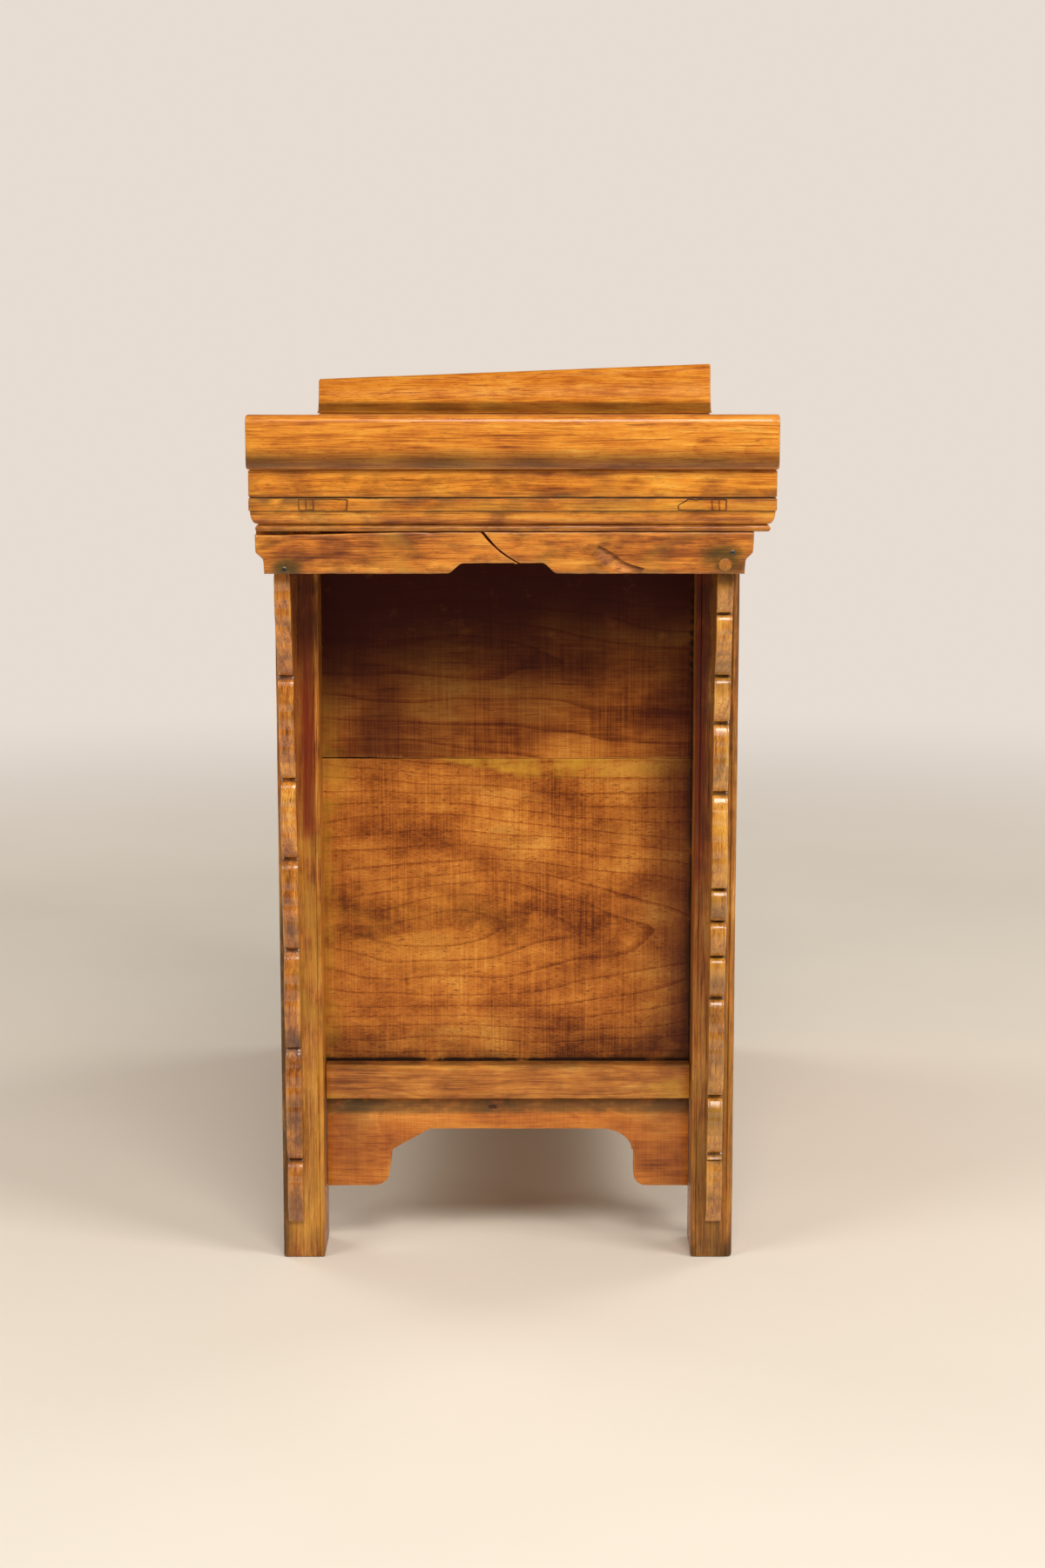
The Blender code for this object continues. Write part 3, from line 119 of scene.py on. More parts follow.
def linear(colour: str) -> Colour:
    """Turns an sRGB hex value to linear light.

    Args:
        colour: six hex digits after a hash sign.

    Returns:
        Red, green, blue and an alpha of one.
    """
    parts = [int(colour[start : start + 2], 16) / 255 for start in (1, 3, 5)]
    curve = [part / 12.92 if part <= 0.04045 else ((part + 0.055) / 1.055) ** 2.4 for part in parts]
    return curve[0], curve[1], curve[2], 1.0


def add_node(tree: Any, kind: str, settings: dict | None = None, links: dict | None = None) -> Any:
    """Adds one node with its settings and links.

    Args:
        tree: the node tree it goes into.
        kind: the node's type name, without its common prefix.
        settings: values by attribute name, input name or input number.
        links: output sockets by input name or number.

    Returns:
        The new node.
    """
    node = tree.nodes.new("ShaderNode" + kind)
    for key, value in (settings or {}).items():
        if isinstance(key, str) and hasattr(node, key):
            setattr(node, key, value)
        else:
            node.inputs[key].default_value = value
    for key, socket in (links or {}).items():
        tree.links.new(socket, node.inputs[key])
    return node


def adder(owner: Any) -> Callable[..., Any]:
    """Clears the nodes of a material or a world.

    Args:
        owner: the material or world.

    Returns:
        A function that adds one node to it.
    """
    owner.use_nodes = True
    owner.node_tree.nodes.clear()
    return partial(add_node, owner.node_tree)


def seed_of(name: str) -> float:
    """A number of a piece's own, the same at each run."""
    return random.Random(name).uniform(0.0, 40.0)


def ripple(point: Vector, size: float, seed: float) -> float:
    """Smooth noise from -1 to 1 at a point, with waves about size metres wide."""
    return noise.noise(point / size + Vector((seed, 0.37 * seed, -seed)))


def patch(point: Vector, size: float, seed: float) -> float:
    """Soft patches about size metres wide: 0 between them, and up to 1 in their middle."""
    return max(0.0, ripple(point, size, seed))


def ease(value: float, low: float, high: float) -> float:
    """A smooth step from 0 at low to 1 at high, in either direction."""
    share = min(1.0, max(0.0, (value - low) / (high - low)))
    return share * share * (3 - 2 * share)


def band(value: float, low: float, high: float, soft: float) -> float:
    """One between low and high, fading to zero over soft metres outside them."""
    return ease(value, low - soft, low) * ease(value, high + soft, high)


@dataclass(frozen=True)
class Wear:
    """How far a length of timber has been rubbed and knocked, in metres.

    Attributes:
        arris: usual rounding of an edge.
        nick: how much further a knock takes an edge.
        wave: how far hand work leaves a face below true.
        end: rounding of the ends.
    """

    arris: float = 1.2 * MM
    nick: float = 1.2 * MM
    wave: float = 0.35 * MM
    end: float = 1.2 * MM

    def rounding(self, usual: float, place: Vector, seed: float, knocks: float, rubs: float) -> float:
        """How far an edge is rounded at one place.

        Args:
            usual: its usual rounding.
            place: the place on the edge.
            seed: the piece's own number.
            knocks: the usual length of a knock.
            rubs: the usual length of a rubbed stretch.

        Returns:
            The rounding there.
        """
        knock = max(0.0, ripple(place, knocks, seed) - 0.3) * 2 * self.nick
        return usual * (0.8 + 0.5 * ripple(place, rubs, seed + 3)) + knock

    def sag(self, place: Vector, size: float, seed: float) -> float:
        """How far a face lies below true at a place, in waves about size metres wide."""
        return self.wave * (0.5 + 0.5 * ripple(place, size, seed))


@dataclass
class Shape:
    """The gathered mesh of one piece: points, how worn each one is, faces, and where the finish changes."""

    points: list[Vector] = field(default_factory=list)
    wear: list[float] = field(default_factory=list)
    faces: list[tuple[int, ...]] = field(default_factory=list)
    breaks: list[int] = field(default_factory=list)

    def change_finish(self) -> None:
        """Gives the faces that follow the next of the piece's finishes."""
        self.breaks.append(len(self.faces))

    def ring(self, points: Sequence[Vector], wear: Sequence[float]) -> list[int]:
        """Adds a closed ring of points.

        Args:
            points: the ring in order.
            wear: how worn each point is.

        Returns:
            The points' numbers.
        """
        first = len(self.points)
        self.points.extend(points)
        self.wear.extend(wear)
        return list(range(first, len(self.points)))

    def bridge(self, first: Sequence[int], second: Sequence[int]) -> None:
        """Joins two rings of as many points with four-sided faces."""
        for (a, b), (d, c) in zip(sides(first), sides(second)):
            self.faces.append((a, b, c, d))

    def loft(self, rings: Sequence[Sequence[int]], capped: bool = True) -> None:
        """Joins rings in order.

        Args:
            rings: the rings' numbers.
            capped: whether the first and the last one are closed with a face.
        """
        for one, other in zip(rings, rings[1:]):
            self.bridge(one, other)
        if capped:
            self.faces += [tuple(rings[0]), tuple(rings[-1])]


def sides(outline: Sequence[Any]) -> list[tuple[Any, Any]]:
    """The sides of a closed outline, as pairs of neighbouring points."""
    return list(zip(outline, [*outline[1:], outline[0]]))


def neighbours(outline: Sequence[Any]) -> list[tuple[Any, Any, Any]]:
    """Each point of a closed outline, between the one before it and the one after it."""
    return list(zip([outline[-1], *outline[:-1]], outline, [*outline[1:], outline[0]]))


def between(first: Point2, second: Point2, share: float) -> Point2:
    """The point that lies a share of the way from one point to another."""
    return first[0] + (second[0] - first[0]) * share, first[1] + (second[1] - first[1]) * share


def signed_area(outline: Sequence[Sequence[float]]) -> float:
    """The area inside an outline, positive where it runs counter-clockwise."""
    return sum(p[0] * q[1] - q[0] * p[1] for p, q in sides(outline)) / 2


def outward(points: Sequence[Sequence[float]]) -> list[Vector]:
    """The outward direction at each point of a counter-clockwise outline.

    Args:
        points: the outline in order.

    Returns:
        Unit vectors across the edge.
    """
    result = []
    for before, point, after in neighbours(points):
        first = Vector((point[1] - before[1], before[0] - point[0]))
        second = Vector((after[1] - point[1], point[0] - after[0]))
        total = first.normalized() + second.normalized()
        result.append(total.normalized() if total.length > 1e-9 else first.normalized())
    return result


def snapped(point: Point2) -> Point2:
    """A point, rounded so that it equals the same point of another edge."""
    return round(point[0], DIGITS), round(point[1], DIGITS)


def outline_of(node: str, axis: Axis, high: bool) -> list[Point2]:
    """Reads the outline of a solid's flat end face.

    Args:
        node: the solid's name.
        axis: the axis that the end face lies across.
        high: whether it is the end with the highest coordinate.

    Returns:
        The outer loop, counter-clockwise, from its lowest point on.
    """
    mesh = frame["nodes"][node].data
    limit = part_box(node)[1 if high else 0][axis.value]
    edges: dict[tuple[Point2, Point2], int] = {}
    for face in mesh.polygons:
        corners = [mesh.vertices[index].co for index in face.vertices]
        if any(abs(corner[axis.value] - limit) > NEAR for corner in corners):
            continue
        for pair in sides([snapped(axis.flat(corner)) for corner in corners]):
            key = (min(pair), max(pair))
            edges[key] = edges.get(key, 0) + 1
    return outer_loop(edge for edge, count in edges.items() if count == 1)


def outline_at(node: str, axis: Axis, height: float) -> list[Point2]:
    """Reads the outline of a solid where a plane cuts it.

    Args:
        node: the solid's name.
        axis: the axis that the plane lies across.
        height: where on that axis the plane lies.

    Returns:
        The cut's outer loop, counter-clockwise, from its lowest point on.
    """
    work = bmesh.new()
    work.from_mesh(frame["nodes"][node].data)
    bmesh.ops.remove_doubles(work, verts=work.verts, dist=1e-6)
    normal = axis.place(1.0, 0.0, 0.0)
    everything = [*work.verts, *work.edges, *work.faces]
    cut = bmesh.ops.bisect_plane(work, geom=everything, plane_co=normal * height, plane_no=normal)["geom_cut"]
    edges = [
        tuple(snapped(axis.flat(vert.co)) for vert in item.verts)
        for item in cut
        if isinstance(item, bmesh.types.BMEdge)
    ]
    work.free()
    return outer_loop(edges)


def outer_loop(edges: Iterable[tuple[Point2, Point2]]) -> list[Point2]:
    """Follows edges round and keeps the loop with the largest area.

    Args:
        edges: the pairs of points that are joined.

    Returns:
        The loop, counter-clockwise, from its lowest point on.
    """
    ways: dict[Point2, list[Point2]] = {}
    for first, second in edges:
        ways.setdefault(first, []).append(second)
        ways.setdefault(second, []).append(first)
    loops = []
    while ways:
        loop = [next(iter(ways))]
        while loop[-1] in ways:
            step = next((p for p in ways.pop(loop[-1]) if p in ways), None)
            if step is None:
                break
            loop.append(step)
        loops.append(loop)
    best = max(loops, key=lambda loop: abs(signed_area(loop)))
    if signed_area(best) < 0:
        best.reverse()
    start = min(range(len(best)), key=lambda index: (round(best[index][1], 4), best[index][0]))
    return straightened(best[start:] + best[:start])


def straightened(outline: Sequence[Point2]) -> list[Point2]:
    """Drops the points of an outline that lie on a straight line between their neighbours.

    Args:
        outline: points in order.

    Returns:
        The points that are left.
    """
    kept = []
    for before, point, after in neighbours(outline):
        middle = Vector(point)
        if abs((middle - Vector(before)).cross(Vector(after) - middle)) > 1e-9:
            kept.append(point)
    return kept


def softened(outline: Sequence[Point2], turn: float = math.radians(34), passes: int = 2) -> list[Point2]:
    """Rounds the shallow corners of an outline and keeps the sharp ones.

    Args:
        outline: points in order.
        turn: the largest turn that is rounded.
        passes: how often the corners are cut.

    Returns:
        The rounded outline.
    """
    points = [Vector(point) for point in outline]
    for _ in range(passes):
        result = []
        for before, point, after in neighbours(points):
            if (point - before).angle(after - point, 0.0) > turn:
                result.append(point)
            else:
                result += [point.lerp(before, 0.25), point.lerp(after, 0.25)]
        points = result
    return [(point.x, point.y) for point in points]


def resampled(outline: Sequence[Point2], pitch: float) -> list[Point2]:
    """Adds points to an outline so that no edge is longer than the pitch.

    Args:
        outline: points in order.
        pitch: the longest edge.

    Returns:
        The denser outline.
    """
    result = []
    for first, second in sides(outline):
        count = max(1, math.ceil(math.dist(first, second) / pitch))
        result.extend(between(first, second, step / count) for step in range(count))
    return result


def clipped(outline: Sequence[Point2], point: Point2, direction: Point2) -> list[Point2]:
    """Keeps the part of an outline on one side of a line.

    Args:
        outline: points in order.
        point: a point on the line.
        direction: points across the line to the side that is kept.

    Returns:
        The part that is left.
    """
    heights = [(p[0] - point[0]) * direction[0] + (p[1] - point[1]) * direction[1] for p in outline]
    result = []
    for (first, height), (second, above) in sides(list(zip(outline, heights))):
        if height >= 0:
            result.append(first)
        if (height < 0) != (above < 0):
            result.append(between(first, second, height / (height - above)))
    return result


def rectangle(a0: float, b0: float, a1: float, b1: float, radius: float) -> list[Corner]:
    """A section with four corners of one rounding."""
    return [(a0, b0, radius), (a1, b0, radius), (a1, b1, radius), (a0, b1, radius)]


def section_ring(
    corners: Sequence[Corner], counts: Sequence[int], along: float, wear: Wear, seed: float
) -> list[Corner]:
    """One cross-section of a length of timber, with its edges rubbed and knocked.

    Args:
        corners: the section's corners with their rounding.
        counts: how many parts each edge is divided into.
        along: where the section lies on the piece's length.
        wear: how far the piece is worn.
        seed: the piece's own number.

    Returns:
        Points with how worn each one is.
    """
    arcs = []
    for here, (before, (a, b, radius), after) in enumerate(neighbours(corners)):
        corner = Vector((a, b))
        if radius <= 0:
            arcs.append([(corner, 0.0)])
            continue
        back, on = Vector(before[:2]) - corner, Vector(after[:2]) - corner
        reach = wear.rounding(radius, Vector((along, 0.31 * here, 0.0)), seed, 0.022, 0.07)
        reach = min(reach, 0.4 * back.length, 0.4 * on.length)
        start, end = corner + back.normalized() * reach, corner + on.normalized() * reach
        middle = 0.25 * start + 0.5 * corner + 0.25 * end
        arcs.append([(start, RUBBED), (middle, 1.0), (end, RUBBED)])
    ring = []
    for (arc, following), count in zip(sides(arcs), counts):
        ring.extend((point.x, point.y, worn) for point, worn in arc)
        for step in range(1, count):
            point = arc[-1][0].lerp(following[0][0], step / count)
            ring.append((point.x, point.y, 0.0))
    return ring


def swept(
    shape: Shape,
    section: Sequence[Corner],
    axis: Axis,
    ends: tuple[Level | float, Level | float],
    wear: Wear,
    seed: float,
    pitch: float,
    far: Sequence[Corner] = (),
) -> None:
    """Sweeps a section along an axis into a closed length of timber.

    Args:
        shape: where the mesh is gathered.
        section: corners with their rounding, at the start.
        axis: the axis it runs along.
        ends: where it starts and ends, as numbers or as functions of the place in the section.
        wear: how far it is rubbed and knocked.
        seed: the piece's own number.
        pitch: the usual distance between points.
        far: the section at the end, where it differs.
    """
    first, last = (end if callable(end) else (lambda a, b, value=end: value) for end in ends)
    near, far = list(section), list(far or section)
    if signed_area(near) < 0:
        near.reverse()
        far.reverse()
    counts = [max(1, round(math.dist(p[:2], q[:2]) / pitch)) for p, q in sides(near)]
    start, finish = first(*near[0][:2]), last(*near[0][:2])
    length = finish - start
    steps = max(2, round(length / pitch))
    stations = [(0.0, wear.end), (BOW * wear.end, BOW * wear.end), (wear.end, 0.0)]
    stations += [(wear.end + (length - 2 * wear.end) * step / steps, 0.0) for step in range(1, steps)]
    stations += [(length - place, inset) for place, inset in reversed(stations[:3])]
    rings = []
    for place, inset in stations:
        share = place / length
        corners = [tuple(p + (q - p) * share for p, q in zip(one, other)) for one, other in zip(near, far)]
        ring = section_ring(corners, counts, start + place, wear, seed)
        points, worn = [], []
        for (a, b, rubbed), out in zip(ring, outward(ring)):
            along = first(a, b) + (last(a, b) - first(a, b)) * share
            low = wear.sag(axis.place(along * 0.4, a, b), 0.03, seed) + inset
            points.append(axis.place(along, a - out.x * low, b - out.y * low))
            worn.append(max(rubbed, 0.9 if inset else 0.0))
        rings.append(shape.ring(points, worn))
    shape.loft(rings)


def bar(node: str, axis: Axis, wear: Wear, pitch: float, ends: Point2 | None = None) -> Shape:
    """A square length of timber that fills a solid's box.

    Args:
        node: the solid's name.
        axis: the axis it runs along.
        wear: how far it is rubbed and knocked.
        pitch: the usual distance between points.
        ends: where it starts and ends, if not where the solid does.

    Returns:
        The mesh.
    """
    low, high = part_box(node)
    shape = Shape()
    section = rectangle(*axis.flat(low), *axis.flat(high), wear.arris)
    swept(shape, section, axis, ends or (low[axis.value], high[axis.value]), wear, seed_of(node), pitch)
    return shape


def uncut(a: float, b: float) -> float:
    """A face without carving."""
    return 0.0


def sawn(
    shape: Shape,
    outline: Sequence[Point2],
    axis: Axis,
    faces: Point2,
    wear: Wear,
    seed: float,
    pitch: float,
    carve: tuple[Level, Level] = (uncut, uncut),
    edge_parts: int = 3,
    dense: Sequence[Point2] = (),
) -> None:
    """Makes a board with any outline, its arrises rounded and its faces carved.

    Args:
        shape: where the mesh is gathered.
        outline: points across the axis.
        axis: the axis that the board's thickness lies along.
        faces: where its low and its high face lie.
        wear: how far it is rubbed and knocked.
        seed: the piece's own number.
        pitch: the usual distance between points.
        carve: how deep each point of the low and the high face is cut.
        edge_parts: how many parts the edge is divided into.
        dense: more points on the faces, where the carving is fine.
    """
    points = resampled(outline, pitch)
    if signed_area(points) < 0:
        points.reverse()
    rounds, edge, inset = [], [], []
    for point, out in zip(points, outward(points)):
        place = Vector((*point, 0.0))
        rounds.append(min(wear.rounding(wear.arris, place, seed, 0.02, 0.06), (faces[1] - faces[0]) * 0.3))
        edge.append(Vector(point) - out * wear.sag(place, 0.014, seed + 7))
        inset.append(edge[-1] - out * rounds[-1])
    count = len(points)
    spread = [*inset, *interior(inset, pitch, dense)]
    loop = list(range(count))
    flat, _, triangles, origins, _, _ = delaunay_2d_cdt(spread, sides(loop), [loop], 1, 1e-7)
    where = {origin: index for index, found in enumerate(origins) for origin in found if origin < count}

    def layer(spots: Sequence[Vector], heights: Sequence[float], worn: float) -> list[int]:
        """Adds points at their heights, all as worn, and gives their numbers."""
        placed = [axis.place(height, spot.x, spot.y) for height, spot in zip(heights, spots)]
        return shape.ring(placed, [worn] * len(placed))

    def skin(face: int) -> tuple[list[int], list[float]]:
        """Adds one face, and gives the numbers and heights of its rim."""
        inward = -1 if face else 1
        heights = []
        for spot in flat:
            sag = wear.sag(Vector((spot.x, spot.y, 0.3 * face)) * 0.6, 0.03, seed + 11 * face)
            heights.append(faces[face] + inward * carve[face](spot.x, spot.y) + inward * sag)
        numbers = layer(flat, heights, 0.0)
        shape.faces.extend(tuple(numbers[index] for index in triangle) for triangle in triangles)
        rim = [numbers[where[index]] for index in loop]
        for number in rim:
            shape.wear[number] = RUBBED
        return rim, [heights[where[index]] for index in loop]

    low_rim, low = skin(0)
    high_rim, high = skin(1)
    bent = [spot.lerp(rim, BOW) for spot, rim in zip(edge, inset)]
    foot = [height + cut for height, cut in zip(low, rounds)]
    brow = [height - cut for height, cut in zip(high, rounds)]
    rings = [
        low_rim,
        layer(bent, [height + cut * BOW for height, cut in zip(low, rounds)], 1.0),
        layer(edge, foot, RUBBED),
    ]
    for part in range(1, edge_parts):
        share = part / edge_parts
        rings.append(layer(edge, [one + (other - one) * share for one, other in zip(foot, brow)], 0.0))
    rings += [
        layer(edge, brow, RUBBED),
        layer(bent, [height - cut * BOW for height, cut in zip(high, rounds)], 1.0),
        high_rim,
    ]
    shape.loft(rings, capped=False)


def crossings(outline: Sequence[Sequence[float]], height: float) -> list[float]:
    """Where an outline crosses a level line.

    Args:
        outline: the outline in order.
        height: the line's height.

    Returns:
        The crossings' places on the line, in the outline's order.
    """
    return [
        p[0] + (height - p[1]) / (q[1] - p[1]) * (q[0] - p[0])
        for p, q in sides(outline)
        if (p[1] <= height) != (q[1] <= height)
    ]


def inside(outline: Sequence[Sequence[float]], point: Point2) -> bool:
    """Whether a point lies inside an outline."""
    return sum(cut < point[0] for cut in crossings(outline, point[1])) % 2 == 1


def interior(outline: Sequence[Vector], pitch: float, dense: Sequence[Point2]) -> list[Vector]:
    """Grid points inside an outline, clear of its edge.

    Args:
        outline: the outline in order.
        pitch: the grid's spacing.
        dense: more points, which the grid leaves room for.

    Returns:
        The points.
    """
    rim = search_tree(outline)
    found = [Vector(spot) for spot in dense if inside(outline, spot) and distance(rim, *spot) > 0.4 * MM]
    tree = search_tree([*outline, *found])
    low = Vector((min(p.x for p in outline), min(p.y for p in outline)))
    high = Vector((max(p.x for p in outline), max(p.y for p in outline)))
    for row in range(1, math.ceil((high.y - low.y) / pitch)):
        y = low.y + row * pitch
        cuts = crossings(outline, y)
        for column in range(1, math.ceil((high.x - low.x) / pitch)):
            x = low.x + (column + 0.5 * (row % 2)) * pitch
            if sum(cut < x for cut in cuts) % 2 and distance(tree, x, y) > 0.6 * pitch:
                found.append(Vector((x, y)))
    return found


def search_tree(points: Sequence[Sequence[float]]) -> kdtree.KDTree:
    """Makes points across an axis ready for a search of the nearest one.

    Args:
        points: the points.

    Returns:
        The tree to search.
    """
    tree = kdtree.KDTree(len(points))
    for index, point in enumerate(points):
        tree.insert((point[0], point[1], 0.0), index)
    tree.balance()
    return tree


def distance(tree: kdtree.KDTree, a: float, b: float) -> float:
    """How far a place across an axis lies from the nearest point of a tree."""
    return tree.find((a, b, 0.0))[2]


def angles(steps: int) -> list[Point2]:
    """The cosine and sine of as many angles, evenly round a circle."""
    turns = [2 * math.pi * step / steps for step in range(steps)]
    return [(math.cos(turn), math.sin(turn)) for turn in turns]


def circle(centre: Vector, axis: Axis, radius: float, steps: int = 24, lift: float = 0.0) -> list[Vector]:
    """Points of a circle about an axis through a centre.

    Args:
        centre: a point on the axis.
        axis: the axis that it turns about.
        radius: its radius.
        steps: how many points go round.
        lift: how far along the axis it lies from the centre.

    Returns:
        The points in order.
    """
    a, b = axis.flat(centre)
    along = centre[axis.value] + lift
    return [axis.place(along, a + radius * across, b + radius * up) for across, up in angles(steps)]


def turned(shape: Shape, profile: Sequence[Point2], axis: Axis, centre: Vector, steps: int = 20) -> None:
    """Turns a profile about an axis through a centre.

    Args:
        shape: where the mesh is gathered.
        profile: radius and height along the axis, from one end to the other.
        axis: the axis it turns about.
        centre: a point on that axis, from which heights count.
        steps: how many points go round.
    """
    rounds = [circle(centre, axis, radius, steps, height) for radius, height in profile]
    shape.loft([shape.ring(points, [0.0] * steps) for points in rounds])


def tube(
    shape: Shape, path: Sequence[Vector], radii: Sequence[float], steps: int = 12, closed: bool = False
) -> None:
    """Draws round wire along a path that lies in one plane.

    Args:
        shape: where the mesh is gathered.
        path: the wire's middle line.
        radii: the wire's radius at each point.
        steps: how many points go round.
        closed: whether the wire's ends meet.
    """
    count = len(path)
    flat = (path[count // 3] - path[0]).cross(path[2 * count // 3] - path[0]).normalized()
    rings = []
    for here, (point, radius) in enumerate(zip(path, radii)):
        before = path[here - 1] if here or closed else point
        after = path[(here + 1) % count] if here < count - 1 or closed else point
        side = (after - before).normalized().cross(flat)
        points = [point + radius * (across * side + up * flat) for across, up in angles(steps)]
        rings.append(shape.ring(points, [0.0] * steps))
    shape.loft(rings, capped=not closed)
    if closed:
        shape.bridge(rings[-1], rings[0])


def frame_axis(joint: str) -> Vector:
    """A point on a joint's axis."""
    found = next(row for row in frame["joints"] if row["name"] == joint)
    return Vector(found["pos_m"])


def clean(point: Vector) -> Marks:
    """No grime, bare wood, glaze or stain anywhere."""
    return 0.0, 0.0, 0.0, 0.0


def make_piece(
    shape: Shape,
    name: str,
    material: bpy.types.Material | Sequence[bpy.types.Material],
    slot: Slot,
    body: str = "carcase",
    nodes: Sequence[str] = (),
    patina: Patina = clean,
) -> None:
    """Turns a gathered mesh into a piece that rides on a body.

    Args:
        shape: the gathered mesh.
        name: the piece's name.
        material: its finish, or its finishes where they change.
        slot: the record's slot that the finish goes with; not used.
        body: the body it moves with.
        nodes: the solids it stands for.
        patina: gives grime, bare wood, glaze and stain at a point, each from 0 to 1; on some pieces these
            also carry painted shade.
    """
    mesh = bpy.data.meshes.new(name)
    mesh.from_pydata(shape.points, [], shape.faces)
    work = bmesh.new()
    work.from_mesh(mesh)
    bmesh.ops.recalc_face_normals(work, faces=work.faces)
    work.to_mesh(mesh)
    work.free()
    mesh.polygons.foreach_set("use_smooth", [True] * len(mesh.polygons))
    mesh.set_sharp_from_angle(angle=SHARP)
    spots = [patina(point) for point in shape.points]
    ageing = [(worn, grime, bare, 1.0) for worn, (grime, bare, _, _) in zip(shape.wear, spots)]
    staining = [(glaze, stain, 0.0, 1.0) for _, _, glaze, stain in spots]
    for layer, values in (("ageing", ageing), ("staining", staining)):
        drawn = mesh.attributes.new(layer, "FLOAT_COLOR", "POINT")
        drawn.data.foreach_set("color", [part for value in values for part in value])
    for finish in material if isinstance(material, Sequence) else [material]:
        mesh.materials.append(finish)
    numbers = [sum(start <= index for start in shape.breaks) for index in range(len(shape.faces))]
    mesh.polygons.foreach_set("material_index", numbers)
    piece = bpy.data.objects.new(name, mesh)
    bpy.context.scene.collection.objects.link(piece)
    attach(piece, body)
    if nodes:
        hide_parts(*nodes)
    LOG.info("%s: %d faces on %s", name, len(mesh.polygons), body)


@dataclass(frozen=True)
class Eye:
    """Where a tree's heart comes through a board, and how steeply, in radians."""

    place: Place
    lean: float


@dataclass(frozen=True)
class ShellackedElm:
    """Northern elm, planed by hand, stained and rubbed with shellac over many years.

    The eye gets flat-sawn rings in soft bands, long streaks and fibre lines, cloudy red-brown stain, paler
    honey where hands have rubbed the edges through, and an uneven but lively shine.

    Attributes:
        name: the finish's name.
        palette: five colours from late wood to the palest early wood.
        rubbed: colour where the edges are worn through.
        bare: colour where the stain has gone.
        glaze: colour of old dark red glaze, on some pieces also laid on as painted shade and painted shadow.
        stain: colour of dark stain round metal, also laid on as painted shadow under the end rails.
        grime: colour of dirt in corners, also laid on as painted shade in notches, gaps and shaded strips.
        ring: usual width of a growth ring, in metres.
        depth: usual distance of the board from the heart of the tree.
        streak: width of a colour streak along the grain.
        fibre: width of a fibre line, drawn about three times as coarse as it is, so that it shows.
        cloud: width of the cloudy stain.
        speck: width of the brown specks.
        late: share of each ring that darkens to late wood.
        lines: strength of that dark line.
        drift: how far the rings wander from true circles.
        streaks: strength of the colour streaks.
        fibres: strength of the fibre lines.
        clouds: strength of the cloudy stain.
        brush: strength of brush lines across the grain.
        specks: strength of the brown specks.
        hairs: strength of the dark hairs and pores.
        relief: strength of the small unevenness of the surface.
        rough: usual roughness.
        coat: weight of the shellac's shine.
        shine: level of the wood's own reflection.
    """

    name: str
    palette: tuple[str, str, str, str, str]
    rubbed: str = "#e3a446"
    bare: str = "#d19a31"
    glaze: str = "#3a1006"
    stain: str = "#42370f"
    grime: str = "#241207"
    ring: float = 5.0 * MM
    depth: float = 55 * MM
    streak: float = 8 * MM
    fibre: float = 1.1 * MM
    cloud: float = 40 * MM
    speck: float = 7 * MM
    late: float = 0.4
    lines: float = 0.06
    drift: float = 0.06
    streaks: float = 0.42
    fibres: float = 0.36
    clouds: float = 0.42
    brush: float = 0.0
    specks: float = 0.35
    hairs: float = 0.7
    relief: float = 0.3
    rough: float = 0.33
    coat: float = 0.35
    shine: float = 0.5

    def placing(
        self, node: str, grain: Axis, dice: random.Random, eye: Eye | None
    ) -> dict[str, tuple[float, ...]]:
        """Lays the tree's heart along one axis, behind the board that is cut from it.

        Args:
            node: the solid that the board stands for.
            grain: the axis that its grain runs along.
            dice: the piece's own source of chance.
            eye: where the heart comes through the board, if it does.

        Returns:
            The turn and shift that take the cabinet's frame to the tree's.
        """
        quarter = math.pi / 2
        turn = {Axis.X: (0.0, 0.0, 0.0), Axis.Y: (0.0, 0.0, -quarter), Axis.Z: (0.0, quarter, 0.0)}[grain]
        low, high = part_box(node)
        heart = (low + high) / 2
        crosswise = [axis.value for axis in Axis if axis is not grain]
        thin, broad = sorted(crosswise, key=lambda index: high[index] - low[index])
        heart[thin] += dice.choice((-1, 1)) * self.depth * dice.uniform(0.8, 1.3)
        heart[broad] += dice.uniform(-0.25, 0.25) * (high[broad] - low[broad])
        if eye:
            turn = (turn[0], turn[1], turn[2] + eye.lean)
            heart = Vector(eye.place)
        shift = -(Euler(turn).to_matrix() @ heart)
        shift.x += dice.uniform(-9.0, 9.0) * (not eye)
        return {"Rotation": turn, "Location": tuple(shift)}

    def patterns(self, add: Callable[..., Any], laid: Any, swayed: Any) -> dict[str, Any]:
        """Draws the finish's patterns, each with its own length along the grain and width across it.

        Args:
            add: adds a node to the material.
            laid: the place in the tree.
            swayed: the same place, with the grain's sway.

        Returns:
            The patterns' sockets by name.
        """
        result = {}
        for name, source, long, wide, detail in (
            ("streaks", swayed, 22 * self.streak, self.streak, 4.0),
            ("fibres", swayed, 40 * self.fibre, self.fibre, 3.0),
            ("hairs", swayed, 60 * self.fibre, 1.3 * self.fibre, 1.0),
            ("pores", swayed, 8 * self.fibre, 0.9 * self.fibre, 1.0),
            ("clouds", laid, 1.8 * self.cloud, self.cloud, 5.0),
            ("specks", laid, 2.6 * self.speck, self.speck, 8.0),
            ("patches", laid, 30 * MM, 20 * MM, 5.0),
            ("strokes", laid, 1.5 * MM, 90 * MM, 3.0),
        ):
            scaled = add("Mapping", {"Scale": (1 / long, 1 / wide, 1 / wide)}, {"Vector": source.outputs[0]})
            settings = {"Scale": 1.0, "Detail": detail, "Roughness": 0.6}
            result[name] = add("TexNoise", settings, {"Vector": scaled.outputs[0]}).outputs["Fac"]
        return result

